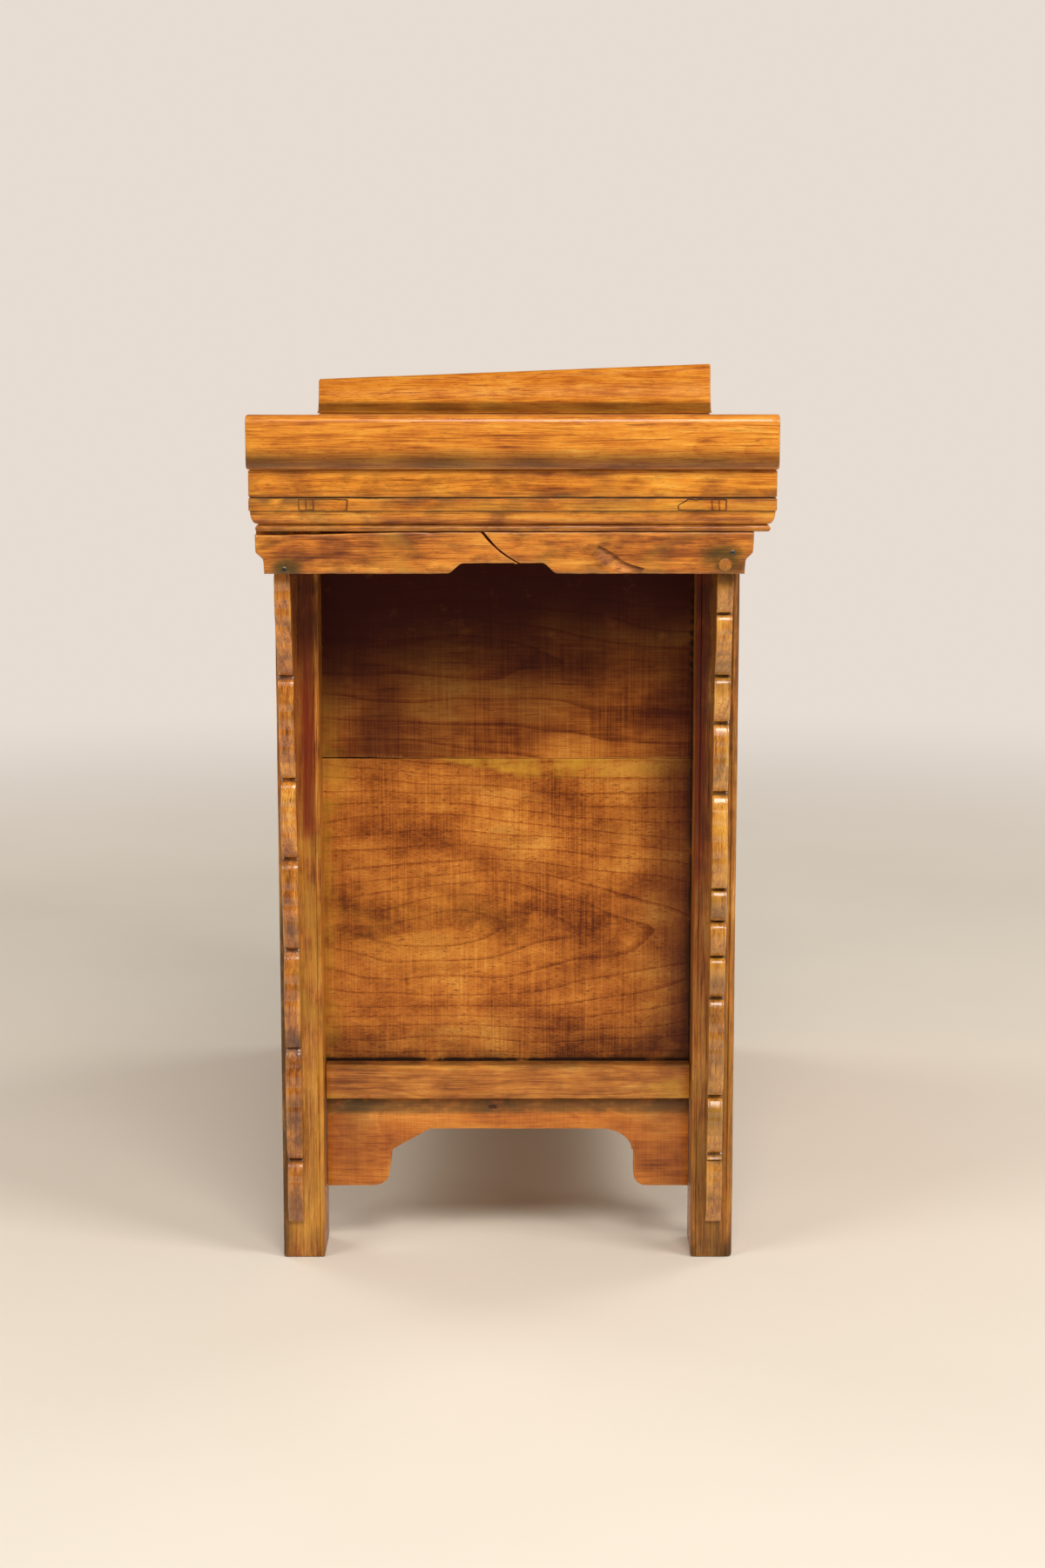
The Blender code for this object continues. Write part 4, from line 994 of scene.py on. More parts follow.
    def wood_colour(self, add: Callable[..., Any], rings: Any, patterns: dict[str, Any]) -> Any:
        """Adds up rings, streaks, fibres, clouds and brush lines, and takes the sum through the palette.

        Args:
            add: adds a node to the material.
            rings: the socket of the growth rings.
            patterns: the patterns' sockets by name.

        Returns:
            The colour's socket.
        """
        late = add(
            "MapRange",
            {"interpolation_type": "SMOOTHSTEP", "From Min": 1 - self.late, "To Max": -self.lines},
            {"Value": rings},
        )
        fading = add("MapRange", {"From Min": 0.32, "From Max": 0.58}, {"Value": patterns["clouds"]})
        tone = add("Math", {"operation": "MULTIPLY"}, {0: late.outputs[0], 1: fading.outputs[0]})
        shares = {
            "streaks": self.streaks,
            "fibres": self.fibres,
            "clouds": self.clouds,
            "strokes": self.brush,
        }
        for name, share in shares.items():
            settings = {"operation": "MULTIPLY_ADD", 1: share}
            tone = add("Math", settings, {0: patterns[name], 2: tone.outputs[0]})
        middle = sum(shares.values()) / 2 - 0.3 * self.late * self.lines
        limits = {"From Min": middle - 0.17, "From Max": middle + 0.17}
        spread = add("MapRange", limits, {"Value": tone.outputs[0]})
        ramp = add("ValToRGB", {}, {"Fac": spread.outputs[0]})
        stops = ramp.color_ramp.elements
        while len(stops) < len(self.palette):
            stops.new(0.5)
        for stop, colour, share in zip(stops, self.palette, (0.0, 0.27, 0.52, 0.77, 1.0)):
            stop.position = share
            stop.color = linear(colour)
        return ramp.outputs["Color"]

    def material(self, node: str, grain: Axis, label: str = "", eye: Eye | None = None) -> bpy.types.Material:
        """Makes the finish for one piece, with rings of the piece's own.

        Args:
            node: the solid that the piece stands for or lies on.
            grain: the axis that its grain runs along.
            label: the piece's own name, where the solid has more than one.
            eye: where the tree's heart comes through the board, if it does.

        Returns:
            The material.
        """
        dice = random.Random(node + label)
        result = bpy.data.materials.new(f"{self.name}_{label or node}")
        add = adder(result)
        place = add("TexCoord").outputs["Object"]
        laid = add("Mapping", self.placing(node, grain, dice, eye), {"Vector": place})
        slow = add("Mapping", {"Scale": (2.6, 9.0, 9.0)}, {"Vector": laid.outputs[0]})
        drift = add("TexNoise", {"Scale": 1.0, "Detail": 2.0}, {"Vector": slow.outputs[0]})
        half = (0.5, 0.5, 0.5)
        centred = add("VectorMath", {"operation": "SUBTRACT", 1: half}, {0: drift.outputs["Color"]})
        bent, swayed = (
            add(
                "VectorMath",
                {"operation": "MULTIPLY_ADD", 1: (0.0, reach, reach)},
                {0: centred.outputs[0], 2: laid.outputs[0]},
            )
            for reach in (self.drift, 0.012)
        )
        rings = add(
            "TexWave",
            {
                "wave_type": "RINGS",
                "rings_direction": "X",
                "wave_profile": "SAW",
                "Scale": 2 * math.pi / (20 * self.ring),
                "Distortion": 0.8,
                "Detail": 2.0,
                "Detail Scale": 0.5,
            },
            {"Vector": bent.outputs[0]},
        )
        patterns = self.patterns(add, laid, swayed)
        colour = self.wood_colour(add, rings.outputs["Fac"], patterns)
        (worn, grime, bare), (glaze, stain, _) = (
            add("SeparateColor", {}, {0: add("Attribute", {"attribute_name": name}).outputs["Color"]}).outputs
            for name in ("ageing", "staining")
        )
        everywhere = None
        # The glaze, stain and grime layers lay on real glaze, stain and dirt, and on some pieces painted
        # shade and shadow as well.
        for mask, pattern, tint, most, low, high in (
            (everywhere, "specks", self.palette[0], self.specks, 0.48, 0.70),
            (everywhere, "hairs", self.palette[0], self.hairs, 0.63, 0.72),
            (everywhere, "pores", self.palette[0], 0.8 * self.hairs, 0.64, 0.72),
            (bare, "patches", self.bare, 0.9, 0.34, 0.60),
            (glaze, "patches", self.glaze, 1.0, -0.30, 0.40),
            (worn, "patches", self.rubbed, 0.60, 0.40, 0.66),
            (stain, "patches", self.stain, 0.92, 0.20, 0.50),
            (grime, "patches", self.grime, 0.92, 0.20, 0.55),
        ):
            limits = {"From Min": low, "From Max": high, "To Max": most}
            amount = add("MapRange", limits, {"Value": patterns[pattern]})
            if mask:
                amount = add("Math", {"operation": "MULTIPLY"}, {0: amount.outputs[0], 1: mask})
            settings = {"data_type": "RGBA", 7: linear(tint)}
            colour = add("Mix", settings, {0: amount.outputs[0], 6: colour}).outputs[2]
        limits = {"From Min": 0.3, "From Max": 0.7, "To Min": self.rough + 0.10, "To Max": self.rough - 0.08}
        dulled = add("MapRange", limits, {"Value": patterns["clouds"]})
        dirty = add("Math", {"operation": "MULTIPLY_ADD", 1: 0.3}, {0: grime, 2: dulled.outputs[0]})
        uneven = {0: patterns["fibres"], 2: patterns["specks"]}
        relief = add("Math", {"operation": "MULTIPLY_ADD", 1: 0.5}, uneven)
        height = {"Height": relief.outputs[0]}
        bump = add("Bump", {"Strength": self.relief, "Distance": 0.4 * MM}, height)
        wood = add(
            "BsdfPrincipled",
            {
                "IOR": 1.5,
                "Specular IOR Level": self.shine,
                "Coat Weight": self.coat,
                "Coat Roughness": 0.14,
                "Coat IOR": 1.5,
            },
            {"Base Color": colour, "Roughness": dirty.outputs[0], "Normal": bump.outputs[0]},
        )
        add("OutputMaterial", {}, {"Surface": wood.outputs[0]})
        return result


@dataclass(frozen=True)
class PatinatedBrass:
    """Cast and filed brass sheet and wire, browned by age and rubbed bright where it is touched.

    The eye gets a deep yellow-brown metal, clouded with dull oxide, with small scratches and a soft shine.

    Attributes:
        bright: colour of the rubbed metal.
        brown: colour of the aged skin.
        cloud: width of the aged patches, in metres.
    """

    bright: str = "#c39a55"
    brown: str = "#5f4420"
    cloud: float = 9 * MM

    def material(self, piece: str) -> bpy.types.Material:
        """Makes the finish for one piece.

        Args:
            piece: the piece's name, from which its own patches follow.

        Returns:
            The material.
        """
        dice = random.Random(piece)
        result = bpy.data.materials.new(f"patinated_brass_{piece}")
        add = adder(result)
        shift = (dice.uniform(-5, 5), dice.uniform(-5, 5), dice.uniform(-5, 5))
        laid = add("Mapping", {"Location": shift}, {"Vector": add("TexCoord").outputs["Object"]})
        settings = {"Scale": 1 / self.cloud, "Detail": 6.0, "Roughness": 0.65}
        clouds = add("TexNoise", settings, {"Vector": laid.outputs[0]})
        lines = add("Mapping", {"Scale": (120.0, 120.0, 1600.0)}, {"Vector": laid.outputs[0]})
        scratches = add("TexNoise", {"Scale": 1.0, "Detail": 2.0}, {"Vector": lines.outputs[0]})
        ageing = add("Attribute", {"attribute_name": "ageing"})
        aged = add("SeparateColor", {}, {0: ageing.outputs["Color"]})
        limits = {"From Min": 0.42, "From Max": 0.62, "To Max": 0.8}
        skin = add("MapRange", limits, {"Value": clouds.outputs["Fac"]})
        rubbed = {0: skin.outputs[0], 1: aged.outputs[0]}
        left = add("Math", {"operation": "SUBTRACT", "use_clamp": True}, rubbed)
        colours = {"data_type": "RGBA", 6: linear(self.bright), 7: linear(self.brown)}
        colour = add("Mix", colours, {0: left.outputs[0]})
        dull = add("MapRange", {"To Min": 0.30, "To Max": 0.52}, {"Value": left.outputs[0]})
        height = {"Height": scratches.outputs["Fac"]}
        bump = add("Bump", {"Strength": 0.15, "Distance": 0.2 * MM}, height)
        metal = add(
            "BsdfPrincipled",
            {"Metallic": 1.0},
            {"Base Color": colour.outputs[2], "Roughness": dull.outputs[0], "Normal": bump.outputs[0]},
        )
        add("OutputMaterial", {}, {"Surface": metal.outputs[0]})
        return result


FLANGE_ELM = ShellackedElm(
    "shellacked_elm_flange",
    ("#7a3a0c", "#b56419", "#d88526", "#e59a36", "#f0b24e"),
    # This glaze also paints the shade on the turned-under foot of the flanges.
    glaze="#3f1f09",
    streaks=0.30,
    fibres=0.50,
    specks=0.22,
    rough=0.4,
    coat=0.5,
    shine=0.3,
)
QUIET_ELM = replace(FLANGE_ELM, name="shellacked_elm_quiet", coat=0.0, shine=0.12)
TOP_ELM = ShellackedElm(
    "shellacked_elm_top",
    ("#6e320a", "#b06218", "#d98627", "#e69a34", "#f0b14b"),
    speck=13 * MM,
    clouds=0.6,
    specks=0.7,
    relief=0.45,
    coat=0.25,
    shine=0.35,
)
TABLE_ELM = replace(
    TOP_ELM,
    name="shellacked_elm_table",
    ring=7 * MM,
    cloud=70 * MM,
    speck=18 * MM,
    lines=0.12,
    specks=0.35,
)
FRIEZE_ELM = ShellackedElm(
    "shellacked_elm_frieze",
    ("#5a2607", "#9c541a", "#ca7727", "#de8f36", "#edad50"),
    speck=12 * MM,
    clouds=0.6,
    specks=0.75,
    relief=0.6,
)
CARCASE_ELM = ShellackedElm(
    "shellacked_elm_carcase",
    ("#552509", "#8f4f18", "#b96f28", "#cf8a3a", "#e2a753"),
    glaze="#782408",
    streaks=0.34,
)
LEG_ELM = replace(
    CARCASE_ELM,
    name="shellacked_elm_leg",
    streak=5 * MM,
    streaks=0.58,
    fibres=0.55,
    clouds=0.5,
    relief=0.45,
    coat=0.2,
    shine=0.3,
)
RAIL_ELM = replace(LEG_ELM, name="shellacked_elm_rail", streaks=0.3, fibres=0.36, hairs=0.4)
SPANDREL_ELM = ShellackedElm(
    "shellacked_elm_spandrel",
    ("#4d2108", "#8a4a15", "#bd6f22", "#d68c34", "#e9ac4e"),
    speck=10 * MM,
    specks=0.6,
    relief=1.0,
    rough=0.2,
    coat=0.8,
)
CARVED_ELM = replace(
    SPANDREL_ELM,
    name="shellacked_elm_carved",
    palette=("#56280a", "#985a1d", "#c57f30", "#db9b42", "#edb95f"),
)
PANEL_ELM = ShellackedElm(
    "shellacked_elm_panel",
    ("#602808", "#944e18", "#b66926", "#ca7e31", "#db9843"),
    # This glaze also paints the shadow of the overhanging top and the shade beside the front leg.
    glaze="#3c0e0a",
    ring=15 * MM,
    streak=16 * MM,
    cloud=70 * MM,
    speck=26 * MM,
    late=0.2,
    lines=0.14,
    drift=0.07,
    streaks=0.22,
    fibres=0.28,
    clouds=0.90,
    brush=0.30,
    specks=0.3,
    coat=0.06,
    shine=0.15,
)
FACE_ELM = replace(PANEL_ELM, name="shellacked_elm_face", clouds=0.55, brush=0.16)
APRON_ELM = ShellackedElm(
    "shellacked_elm_apron",
    ("#7a370e", "#ab5c1c", "#c87427", "#da8a35", "#e89f48"),
    cloud=55 * MM,
    streaks=0.22,
    fibres=0.3,
    clouds=0.7,
    brush=0.12,
    specks=0.2,
    hairs=0.3,
    coat=0.2,
    shine=0.3,
)
BARE_ELM = ShellackedElm(
    "bare_elm_inside", ("#7d5a38", "#a37f55", "#bd9a6d", "#cbab80", "#d8bd95"), rough=0.66, coat=0.0
)
BRASS = PatinatedBrass()
DARK_NAIL = PatinatedBrass(bright="#6f6a60", brown="#3a332a")


def make_board(
    shape: Shape,
    kind: str,
    node: str,
    finish: ShellackedElm,
    grain: Axis,
    slot: Slot,
    patina: Patina,
    body: str = "carcase",
) -> None:
    """Turns a gathered mesh into the wooden piece that stands for one solid.

    Args:
        shape: the gathered mesh.
        kind: the word that goes before the solid's name in the piece's.
        node: the solid's name.
        finish: the wood's finish.
        grain: the axis that its grain runs along.
        slot: the record's slot that the finish goes with.
        patina: gives grime, bare wood, glaze and stain at a point, each from 0 to 1; on some pieces these
            also carry painted shade.
        body: the body it moves with.
    """
    make_piece(shape, f"{kind}_{node}", finish.material(node, grain), slot, body, [node], patina)


def dress_solid(node: str, finish: ShellackedElm, grain: Axis, bevel: float = 0.8 * MM) -> None:
    """Gives a solid that stays its finish and softens its edges.

    Args:
        node: the solid's name.
        finish: the wood's finish.
        grain: the axis that its grain runs along.
        bevel: the rounding of its edges.
    """
    solid = frame["nodes"][node]
    solid.data.materials.clear()
    solid.data.materials.append(finish.material(node, grain))
    softening = solid.modifiers.new("worn_arrises", "BEVEL")
    softening.width = bevel
    softening.segments = 2
    softening.limit_method = "ANGLE"
    LOG.info("%s: kept, with bevelled edges", node)


@dataclass
class EvertedTop:
    """The top board between its cleats, with an everted flange standing on each cleat."""

    flange_wear: Wear = Wear(arris=1.5 * MM, nick=0.8 * MM, wave=0.5 * MM, end=2.2 * MM)
    cleat_wear: Wear = Wear(arris=1.6 * MM, nick=2.0 * MM, wave=0.5 * MM, end=1.6 * MM)
    board_wear: Wear = Wear(arris=1.6 * MM, nick=1.6 * MM, wave=0.5 * MM, end=0.5 * MM)
    flange_parts: int = 3

    def build(self) -> None:
        """Builds the cleats, the flanges and the board."""
        for side in Side:
            self.flange(side)
            self.cleat(side)
        self.board()

    def flange(self, side: Side) -> None:
        """Builds one flange from the sections at its front and back ends.

        Args:
            side: the end it stands at.
        """
        name = f"flange_{side}"
        near, far = (
            [
                (*between(first, second, part / self.flange_parts), 0.0)
                for first, second in sides(outline_of(name, Axis.Y, back))
                for part in range(self.flange_parts)
            ]
            for back in (False, True)
        )
        low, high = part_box(name)
        shape = Shape()
        swept(shape, near, Axis.Y, (low.y, high.y), self.flange_wear, seed_of(name), 0.009, far)
        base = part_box(f"cleat_{side}")[1].z

        def patina(point: Vector) -> Marks:
            """Old glaze and painted shade along the turned-under foot, and grime on the inner face."""
            # Painted shade on the turned-under foot, laid on with the glaze colour.
            under = band(point.z, base + 5 * MM, base + 11 * MM, 6 * MM)
            inner = ease(side.sign * point.x, 0.520, 0.512)
            return 0.35 * inner, 0.0, under * (0.74 + 0.25 * ripple(point, 0.06, 4.0)), 0.0

        finish = FLANGE_ELM if side is Side.LEFT else QUIET_ELM
        make_board(shape, "everted", name, finish, Axis.Y, Slot.TOP, patina)

    def cleat(self, side: Side) -> None:
        """Builds one cleat across the board's end.

        Args:
            side: the end it lies at.
        """
        name = f"cleat_{side}"
        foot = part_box(name)[0].z

        def patina(point: Vector) -> Marks:
            """Darker along the foot, and patches of grime and of bare wood."""
            dirt = 0.95 * ease(point.z, foot + 1.5 * MM, foot + 0.6 * MM)
            return max(dirt, 0.4 * patch(point, 0.03, 2.0)), 0.3 * patch(point, 0.05, 5.0), 0.0, 0.0

        shape = bar(name, Axis.Y, self.cleat_wear, 0.008)
        make_board(shape, "breadboard", name, TOP_ELM, Axis.Y, Slot.TOP, patina)

    def board(self) -> None:
        """Builds the board, as long as the cleats leave room for."""
        node = "top_board"
        ends = (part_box("cleat_left")[1].x + FIT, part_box("cleat_right")[0].x - FIT)
        make_piece(
            bar(node, Axis.X, self.board_wear, 0.014, ends),
            "table_board",
            TABLE_ELM.material(node, Axis.X),
            Slot.TOP,
            nodes=[node],
            patina=lambda p: (0.5 * ease(abs(p.x), 0.44, 0.482), 0.35 * patch(p, 0.12, 9.0), 0.0, 0.0),
        )


@dataclass
class TopFrame:
    """The moulded frame under the top: flat, ledge, ovolo, quirk and bead, mitred at the corners."""

    flat: float = 12.5 * MM
    ledge: float = 1.3 * MM
    ledge_fall: float = 0.7 * MM
    ovolo: float = 6.0 * MM
    quirk: float = 1.2 * MM
    bead: float = 3.0 * MM
    bead_height: float = 6.5 * MM
    steps: int = 5
    tenon_width: float = 47 * MM
    tenon_inset: float = 49.5 * MM
    tenon_drop: float = 1.5 * MM
    tenon_foot: float = 0.5 * MM
    chip: float = 9 * MM
    wedges: tuple[float, ...] = (7 * MM, 14 * MM)
    joint: float = 0.45 * MM
    joint_sunk: float = 0.1 * MM
    joint_sway: float = 0.6 * MM
    joint_pitch: float = 2.2 * MM
    wear: Wear = Wear(arris=1.4 * MM, nick=1.8 * MM, wave=0.4 * MM, end=0.35 * MM)

    def profile(self, depth: float, bottom: float, top: float) -> list[Corner]:
        """The moulded section, as distances in from its outer face and heights.

        Args:
            depth: how wide the rail is.
            bottom: height of its lower face.
            top: height of its upper face.

        Returns:
            Corners with their rounding.
        """
        fall = top - self.flat
        start = fall - self.ledge_fall
        end = bottom + self.bead_height + self.quirk
        points = [(0.0, top, self.wear.arris), (0.0, fall, 0.6 * MM), (self.ledge, start, 0.0)]
        for step in range(1, self.steps + 1):
            angle = math.pi / 2 * step / self.steps
            inward = self.ledge + self.ovolo * (1 - math.cos(angle))
            points.append((inward, start - (start - end) * math.sin(angle), 0.0))
        deep = self.ledge + self.ovolo + self.quirk
        points += [(deep, end, 0.0), (deep, end - self.quirk, 0.0)]
        for step in range(1, self.steps):
            angle = math.pi * step / self.steps
            height = bottom + self.bead_height / 2 * (1 + math.cos(angle))
            points.append((deep - self.bead * math.sin(angle), height, 0.0))
        points += [(deep, bottom, 0.0), (depth, bottom, self.wear.arris), (depth, top, self.wear.arris)]
        return points

    def build(self) -> None:
        """Builds the four rails and the ends of the through tenons."""
        for side in Side:
            self.end_rail(side)
        for place in ("front", "back"):
            self.long_rail(place)
        for side in Side:
            self.tenon_ends(side)

    def rail(self, name: str, axis: Axis, reach: float, shoulder: float, pitch: float) -> Shape:
        """Sweeps one rail between its mitres.

        Args:
            name: the rail's node.
            axis: the axis it runs along.
            reach: how far from the middle its outer edge goes.
            shoulder: how far it goes at least.
            pitch: the usual distance between points.

        Returns:
            The mesh.
        """
        low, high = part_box(name)
        near, far = (axis.flat(corner)[0] for corner in (low, high))
        sign = 1 if near + far > 0 else -1
        outer = sign * max(abs(near), abs(far))
        moulding = self.profile(far - near, low.z, high.z)
        section = [(outer - sign * inward, height, radius) for inward, height, radius in moulding]

        def mitre(a: float, b: float) -> float:
            """How far from the middle the rail goes, at a place of its section."""
            return max(reach - abs(outer - a), shoulder)

        shape = Shape()
        swept(shape, section, axis, (lambda a, b: -mitre(a, b), mitre), self.wear, seed_of(name), pitch)
        return shape

    def end_rail(self, side: Side) -> None:
        """Builds one end rail.

        Args:
            side: the end it lies at.
        """
        name = f"frame_{side}_rail"
        low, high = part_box(name)
        ledge = high.z - self.flat

        def patina(point: Vector) -> Marks:
            """Darker in the groove, at the foot and along the top under the cleat, and bare wood on the flat.
            """
            groove = band(point.z, ledge - 1.5 * MM, ledge - 0.5 * MM, 1.5 * MM)
            foot = ease(point.z, low.z + 9 * MM, low.z + 6 * MM)
            crest = ease(point.z, high.z - 1.5 * MM, high.z - 0.6 * MM)
            pale = band(point.z, ledge, ledge + 5 * MM, 3 * MM) * max(0.0, ripple(point, 0.06, 3.0) + 0.35)
            return 0.75 * groove + 0.5 * foot + 0.9 * crest, 0.8 * pale, 0.0, 0.0

        shape = self.rail(name, Axis.Y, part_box("frame_back_rail")[1].y, 0.0, 0.009)
        make_board(shape, "moulded", name, TOP_ELM, Axis.Y, Slot.TOP, patina)

    def long_rail(self, place: str) -> None:
        """Builds one long rail.

        Args:
            place: front or back.
        """
        name = f"frame_{place}_rail"
        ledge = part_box(name)[1].z - self.flat

        def patina(point: Vector) -> Marks:
            """Darker in the groove."""
            return 0.7 * band(point.z, ledge - 1.5 * MM, ledge - 0.5 * MM, 1.5 * MM), 0.0, 0.0, 0.0

        shoulder, reach = (corner.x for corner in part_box("frame_right_rail"))
        shape = self.rail(name, Axis.X, reach, shoulder, 0.012)
        make_board(shape, "moulded", name, TOP_ELM, Axis.X, Slot.TOP, patina)

    def tenon_ends(self, side: Side) -> None:
        """Draws the joints round the long rails' wedged tenons, where dirt has filled them.

        Args:
            side: the end they show at.
        """
        rail = f"frame_{side}_rail"
        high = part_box(rail)[1].z
        face = side.face(rail) - side.sign * self.joint_sunk
        top, foot = high - self.tenon_drop, high - self.flat + self.tenon_foot
        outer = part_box("frame_back_rail")[1].y - self.tenon_inset
        inner = outer - self.tenon_width
        for place, sign, chip in (("front", -1, self.chip), ("back", 1, 0.0)):
            rim = [(outer, foot), (outer, top), (inner + chip, top), (inner, top - 0.6 * chip), (inner, foot)]
            shape = Shape()
            self.joint_line(shape, resampled(rim, self.joint_pitch), face, sign, True)
            for step in self.wedges:
                cut = resampled([(outer - step, foot), (outer - step, top)], self.joint_pitch)
                self.joint_line(shape, cut[: len(cut) // 2 + 1], face, sign, False)
            name = f"tenon_joint_{place}_{side}"
            finish = TOP_ELM.material(rail, Axis.Y, name)
            make_piece(shape, name, finish, Slot.TOP, patina=lambda p: (1.0, 0.0, 0.0, 0.6))

    def joint_line(self, shape: Shape, line: list[Point2], face: float, sign: int, closed: bool) -> None:
        """Draws one line of a joint, a little unsteady and of uneven width.

        Args:
            shape: where the mesh is gathered.
            line: distances from the cabinet's middle, and heights.
            face: where the line lies on X.
            sign: the sign of Y there.
            closed: whether the line's ends meet.
        """
        path = []
        for a, b in line:
            spot = Vector((face, sign * a, b))
            sway = Vector((0.0, ripple(spot, 7 * MM, 2.0), ripple(spot, 6 * MM, 9.0)))
            path.append(spot + self.joint_sway * sway)
        radii = [self.joint * (1 + 0.5 * ripple(spot, 5 * MM, 4.0)) for spot in path]
        tube(shape, path, radii, 6, closed)


@dataclass
class Friezes:
    """The boards under the top frame: two long ones with a stepped face, and notched ones across the ends."""

    wear: Wear = Wear(arris=1.5 * MM, nick=2.2 * MM, wave=0.7 * MM, end=1.2 * MM)
    open_from: float = 0.10
    open_to: float = 0.235
    open_gap: float = 2.8 * MM
    crack_top: Point2 = (0.030, 0.7777)
    crack_foot: Point2 = (-0.007, 0.7462)
    crack_gap: float = 0.4 * MM
    crack_bow: float = 3.0 * MM
    flake: tuple[Point2, ...] = (
        (-0.072, 0.7665),
        (-0.0853, 0.7645),
        (-0.1000, 0.7560),
        (-0.1090, 0.7480),
        (-0.1250, 0.7430),
        (-0.1560, 0.7350),
    )
    flake_depth: float = 3.4 * MM
    flake_reach: float = 16 * MM
    front_stain: Point2 = (-0.208, 0.752)
    back_stain: Point2 = (0.223, 0.742)
    front_nail: Point2 = (-0.216, 0.7575)
    back_nail: Point2 = (0.225, 0.741)
    plug_place: Point2 = (-0.209, 0.7455)
    nail: float = 2.6 * MM
    plug: float = 6.4 * MM

    def build(self) -> None:
        """Builds the four boards, and the nails and plugs of the end ones."""
        for side in Side:
            self.end_board(side)
            self.fastenings(side)
        for place in ("front", "back"):
            self.long_board(place)

    def cracked(self, outline: list[Point2], top: float) -> list[list[Point2]]:
        """Opens the near board's joint at its back end and parts the board along its crack.

        Args:
            outline: the board's outline.
            top: height of its upper edge.

        Returns:
            The outlines of the two parts.
        """
        opened = [
            (a, b - self.open_gap * ease(a, self.open_from, self.open_to) if b > top - 2 * MM else b)
            for a, b in outline
        ]
        across = Vector(self.crack_foot) - Vector(self.crack_top)
        aside = Vector((across.y, -across.x)).normalized()
        parts = []
        for sign in (-1, 1):
            edge = Vector(self.crack_top) + sign * self.crack_gap * aside
            part = resampled(clipped(opened, tuple(edge), tuple(sign * aside)), 4 * MM)
            parts.append([self.bowed(point, across, aside) for point in part])
        return parts

    def bowed(self, point: Point2, across: Vector, aside: Vector) -> Point2:
        """Moves a point of the crack's edge so that the crack runs in a shallow curve.

        Args:
            point: a point of the outline.
            across: the way from the crack's top to its foot.
            aside: the direction across the crack.

        Returns:
            The point, moved if it lies on the crack.
        """
        spot = Vector(point) - Vector(self.crack_top)
        if abs(spot.dot(aside)) > 2 * self.crack_gap:
            return point
        share = spot.dot(across) / across.length_squared
        wide = math.copysign(1.0, spot.dot(aside)) * self.crack_gap * 1.6 * ease(share, 0.5, 0.0)
        bow = self.crack_bow * math.sin(math.pi * min(1.0, max(0.0, share)))
        moved = Vector(point) + aside * (wide - bow)
        return moved.x, moved.y

    def flaking(self) -> tuple[Level, list[Point2]]:
        """Works out where wood has flaked off below a curved line.

        Returns:
            How deep the wood is gone at a place of the face, and points that follow the line closely.
        """
        curve = [Vector(point) for point in softened(self.flake, passes=3)[3:-3]]
        curve = [one.lerp(other, step / 6) for one, other in zip(curve, curve[1:]) for step in range(6)]
        ways = [(after - before).normalized() for before, after in zip(curve, curve[1:])]
        dense = [
            tuple(spot + Vector((way.y, -way.x)) * reach * MM)
            for spot, way in zip(curve, ways)
            for reach in (-2.2, -0.35, 0.35, 2.2)
        ]
        nearest = search_tree(curve[:-1])

        def depth(a: float, b: float) -> float:
            """How deep the wood is gone at a place of the face."""
            _, index, away = nearest.find((a, b, 0.0))
            over = ways[index].cross(Vector((a, b)) - curve[index])
            if over < 0:
                return 0.0
            ends = ease(index, 0, 8) * ease(index, len(ways) - 1, len(ways) - 6)
            step = ease(over, 0.0, 0.3 * MM)
            return self.flake_depth * ends * (1 - ease(away, 0.0, self.flake_reach)) * step

        return depth, dense

    def end_board(self, side: Side) -> None:
        """Builds one notched end board; the left one is cracked, flaked and open at its back end.

        Args:
            side: the end it lies at.
        """
        name = f"frieze_{side}"
        low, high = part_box(name)
        parts = [resampled(softened(outline_of(name, Axis.X, side is Side.RIGHT)), 0.02)]
        flake, dense = self.flaking()
        if side is Side.LEFT:
            parts = self.cracked(parts[0], high.z)
        else:
            flake = uncut
        shape, faces, cuts = Shape(), (low.x, high.x), (flake, uncut)
        for part in parts:
            sawn(shape, part, Axis.X, faces, self.wear, seed_of(name), 0.0036, cuts, dense=dense)

        def patina(point: Vector) -> Marks:
            """Dark stain round the nails, dirt and painted shade in the deep part of the flake, darker along
            the lower edge, and bare patches.
            """
            front = math.hypot(0.6 * (point.y - self.front_stain[0]), point.z - self.front_stain[1])
            back = math.hypot(0.7 * (point.y - self.back_stain[0]), point.z - self.back_stain[1])
            dark = max(ease(front, 0.020, 0.007), ease(back, 0.016, 0.005))
            edge = ease(point.z, low.z + 5 * MM, low.z)
            # Dirt and painted shade where the flake is deepest.
            worn = ease(flake(point.y, point.z) / self.flake_depth, 0.55, 0.95)
            blotch = 0.3 * patch(Vector((point.x, 0.6 * point.y, point.z)), 0.02, 3.0)
            return max(0.45 * edge + 0.6 * worn, blotch), patch(point, 0.045, 8.0) * 0.7, 0.0, 0.95 * dark

        make_board(shape, "notched", name, FRIEZE_ELM, Axis.Y, Slot.TOP, patina)

    def long_board(self, place: str) -> None:
        """Builds one long board from the section at its end.

        Args:
            place: front or back.
        """
        name = f"frieze_{place}"
        low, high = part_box(name)
        section = [(a, b, 1.0 * MM) for a, b in outline_of(name, Axis.X, False)]
        shape = Shape()
        swept(shape, section, Axis.X, (low.x, high.x), self.wear, seed_of(name), 0.014)

        def patina(point: Vector) -> Marks:
            """Patches of grime and of bare wood."""
            return 0.35 * patch(point, 0.05, 6.0), 0.4 * patch(point, 0.09, 1.0), 0.0, 0.0

        make_board(shape, "stepped", name, FRIEZE_ELM, Axis.X, Slot.TOP, patina)

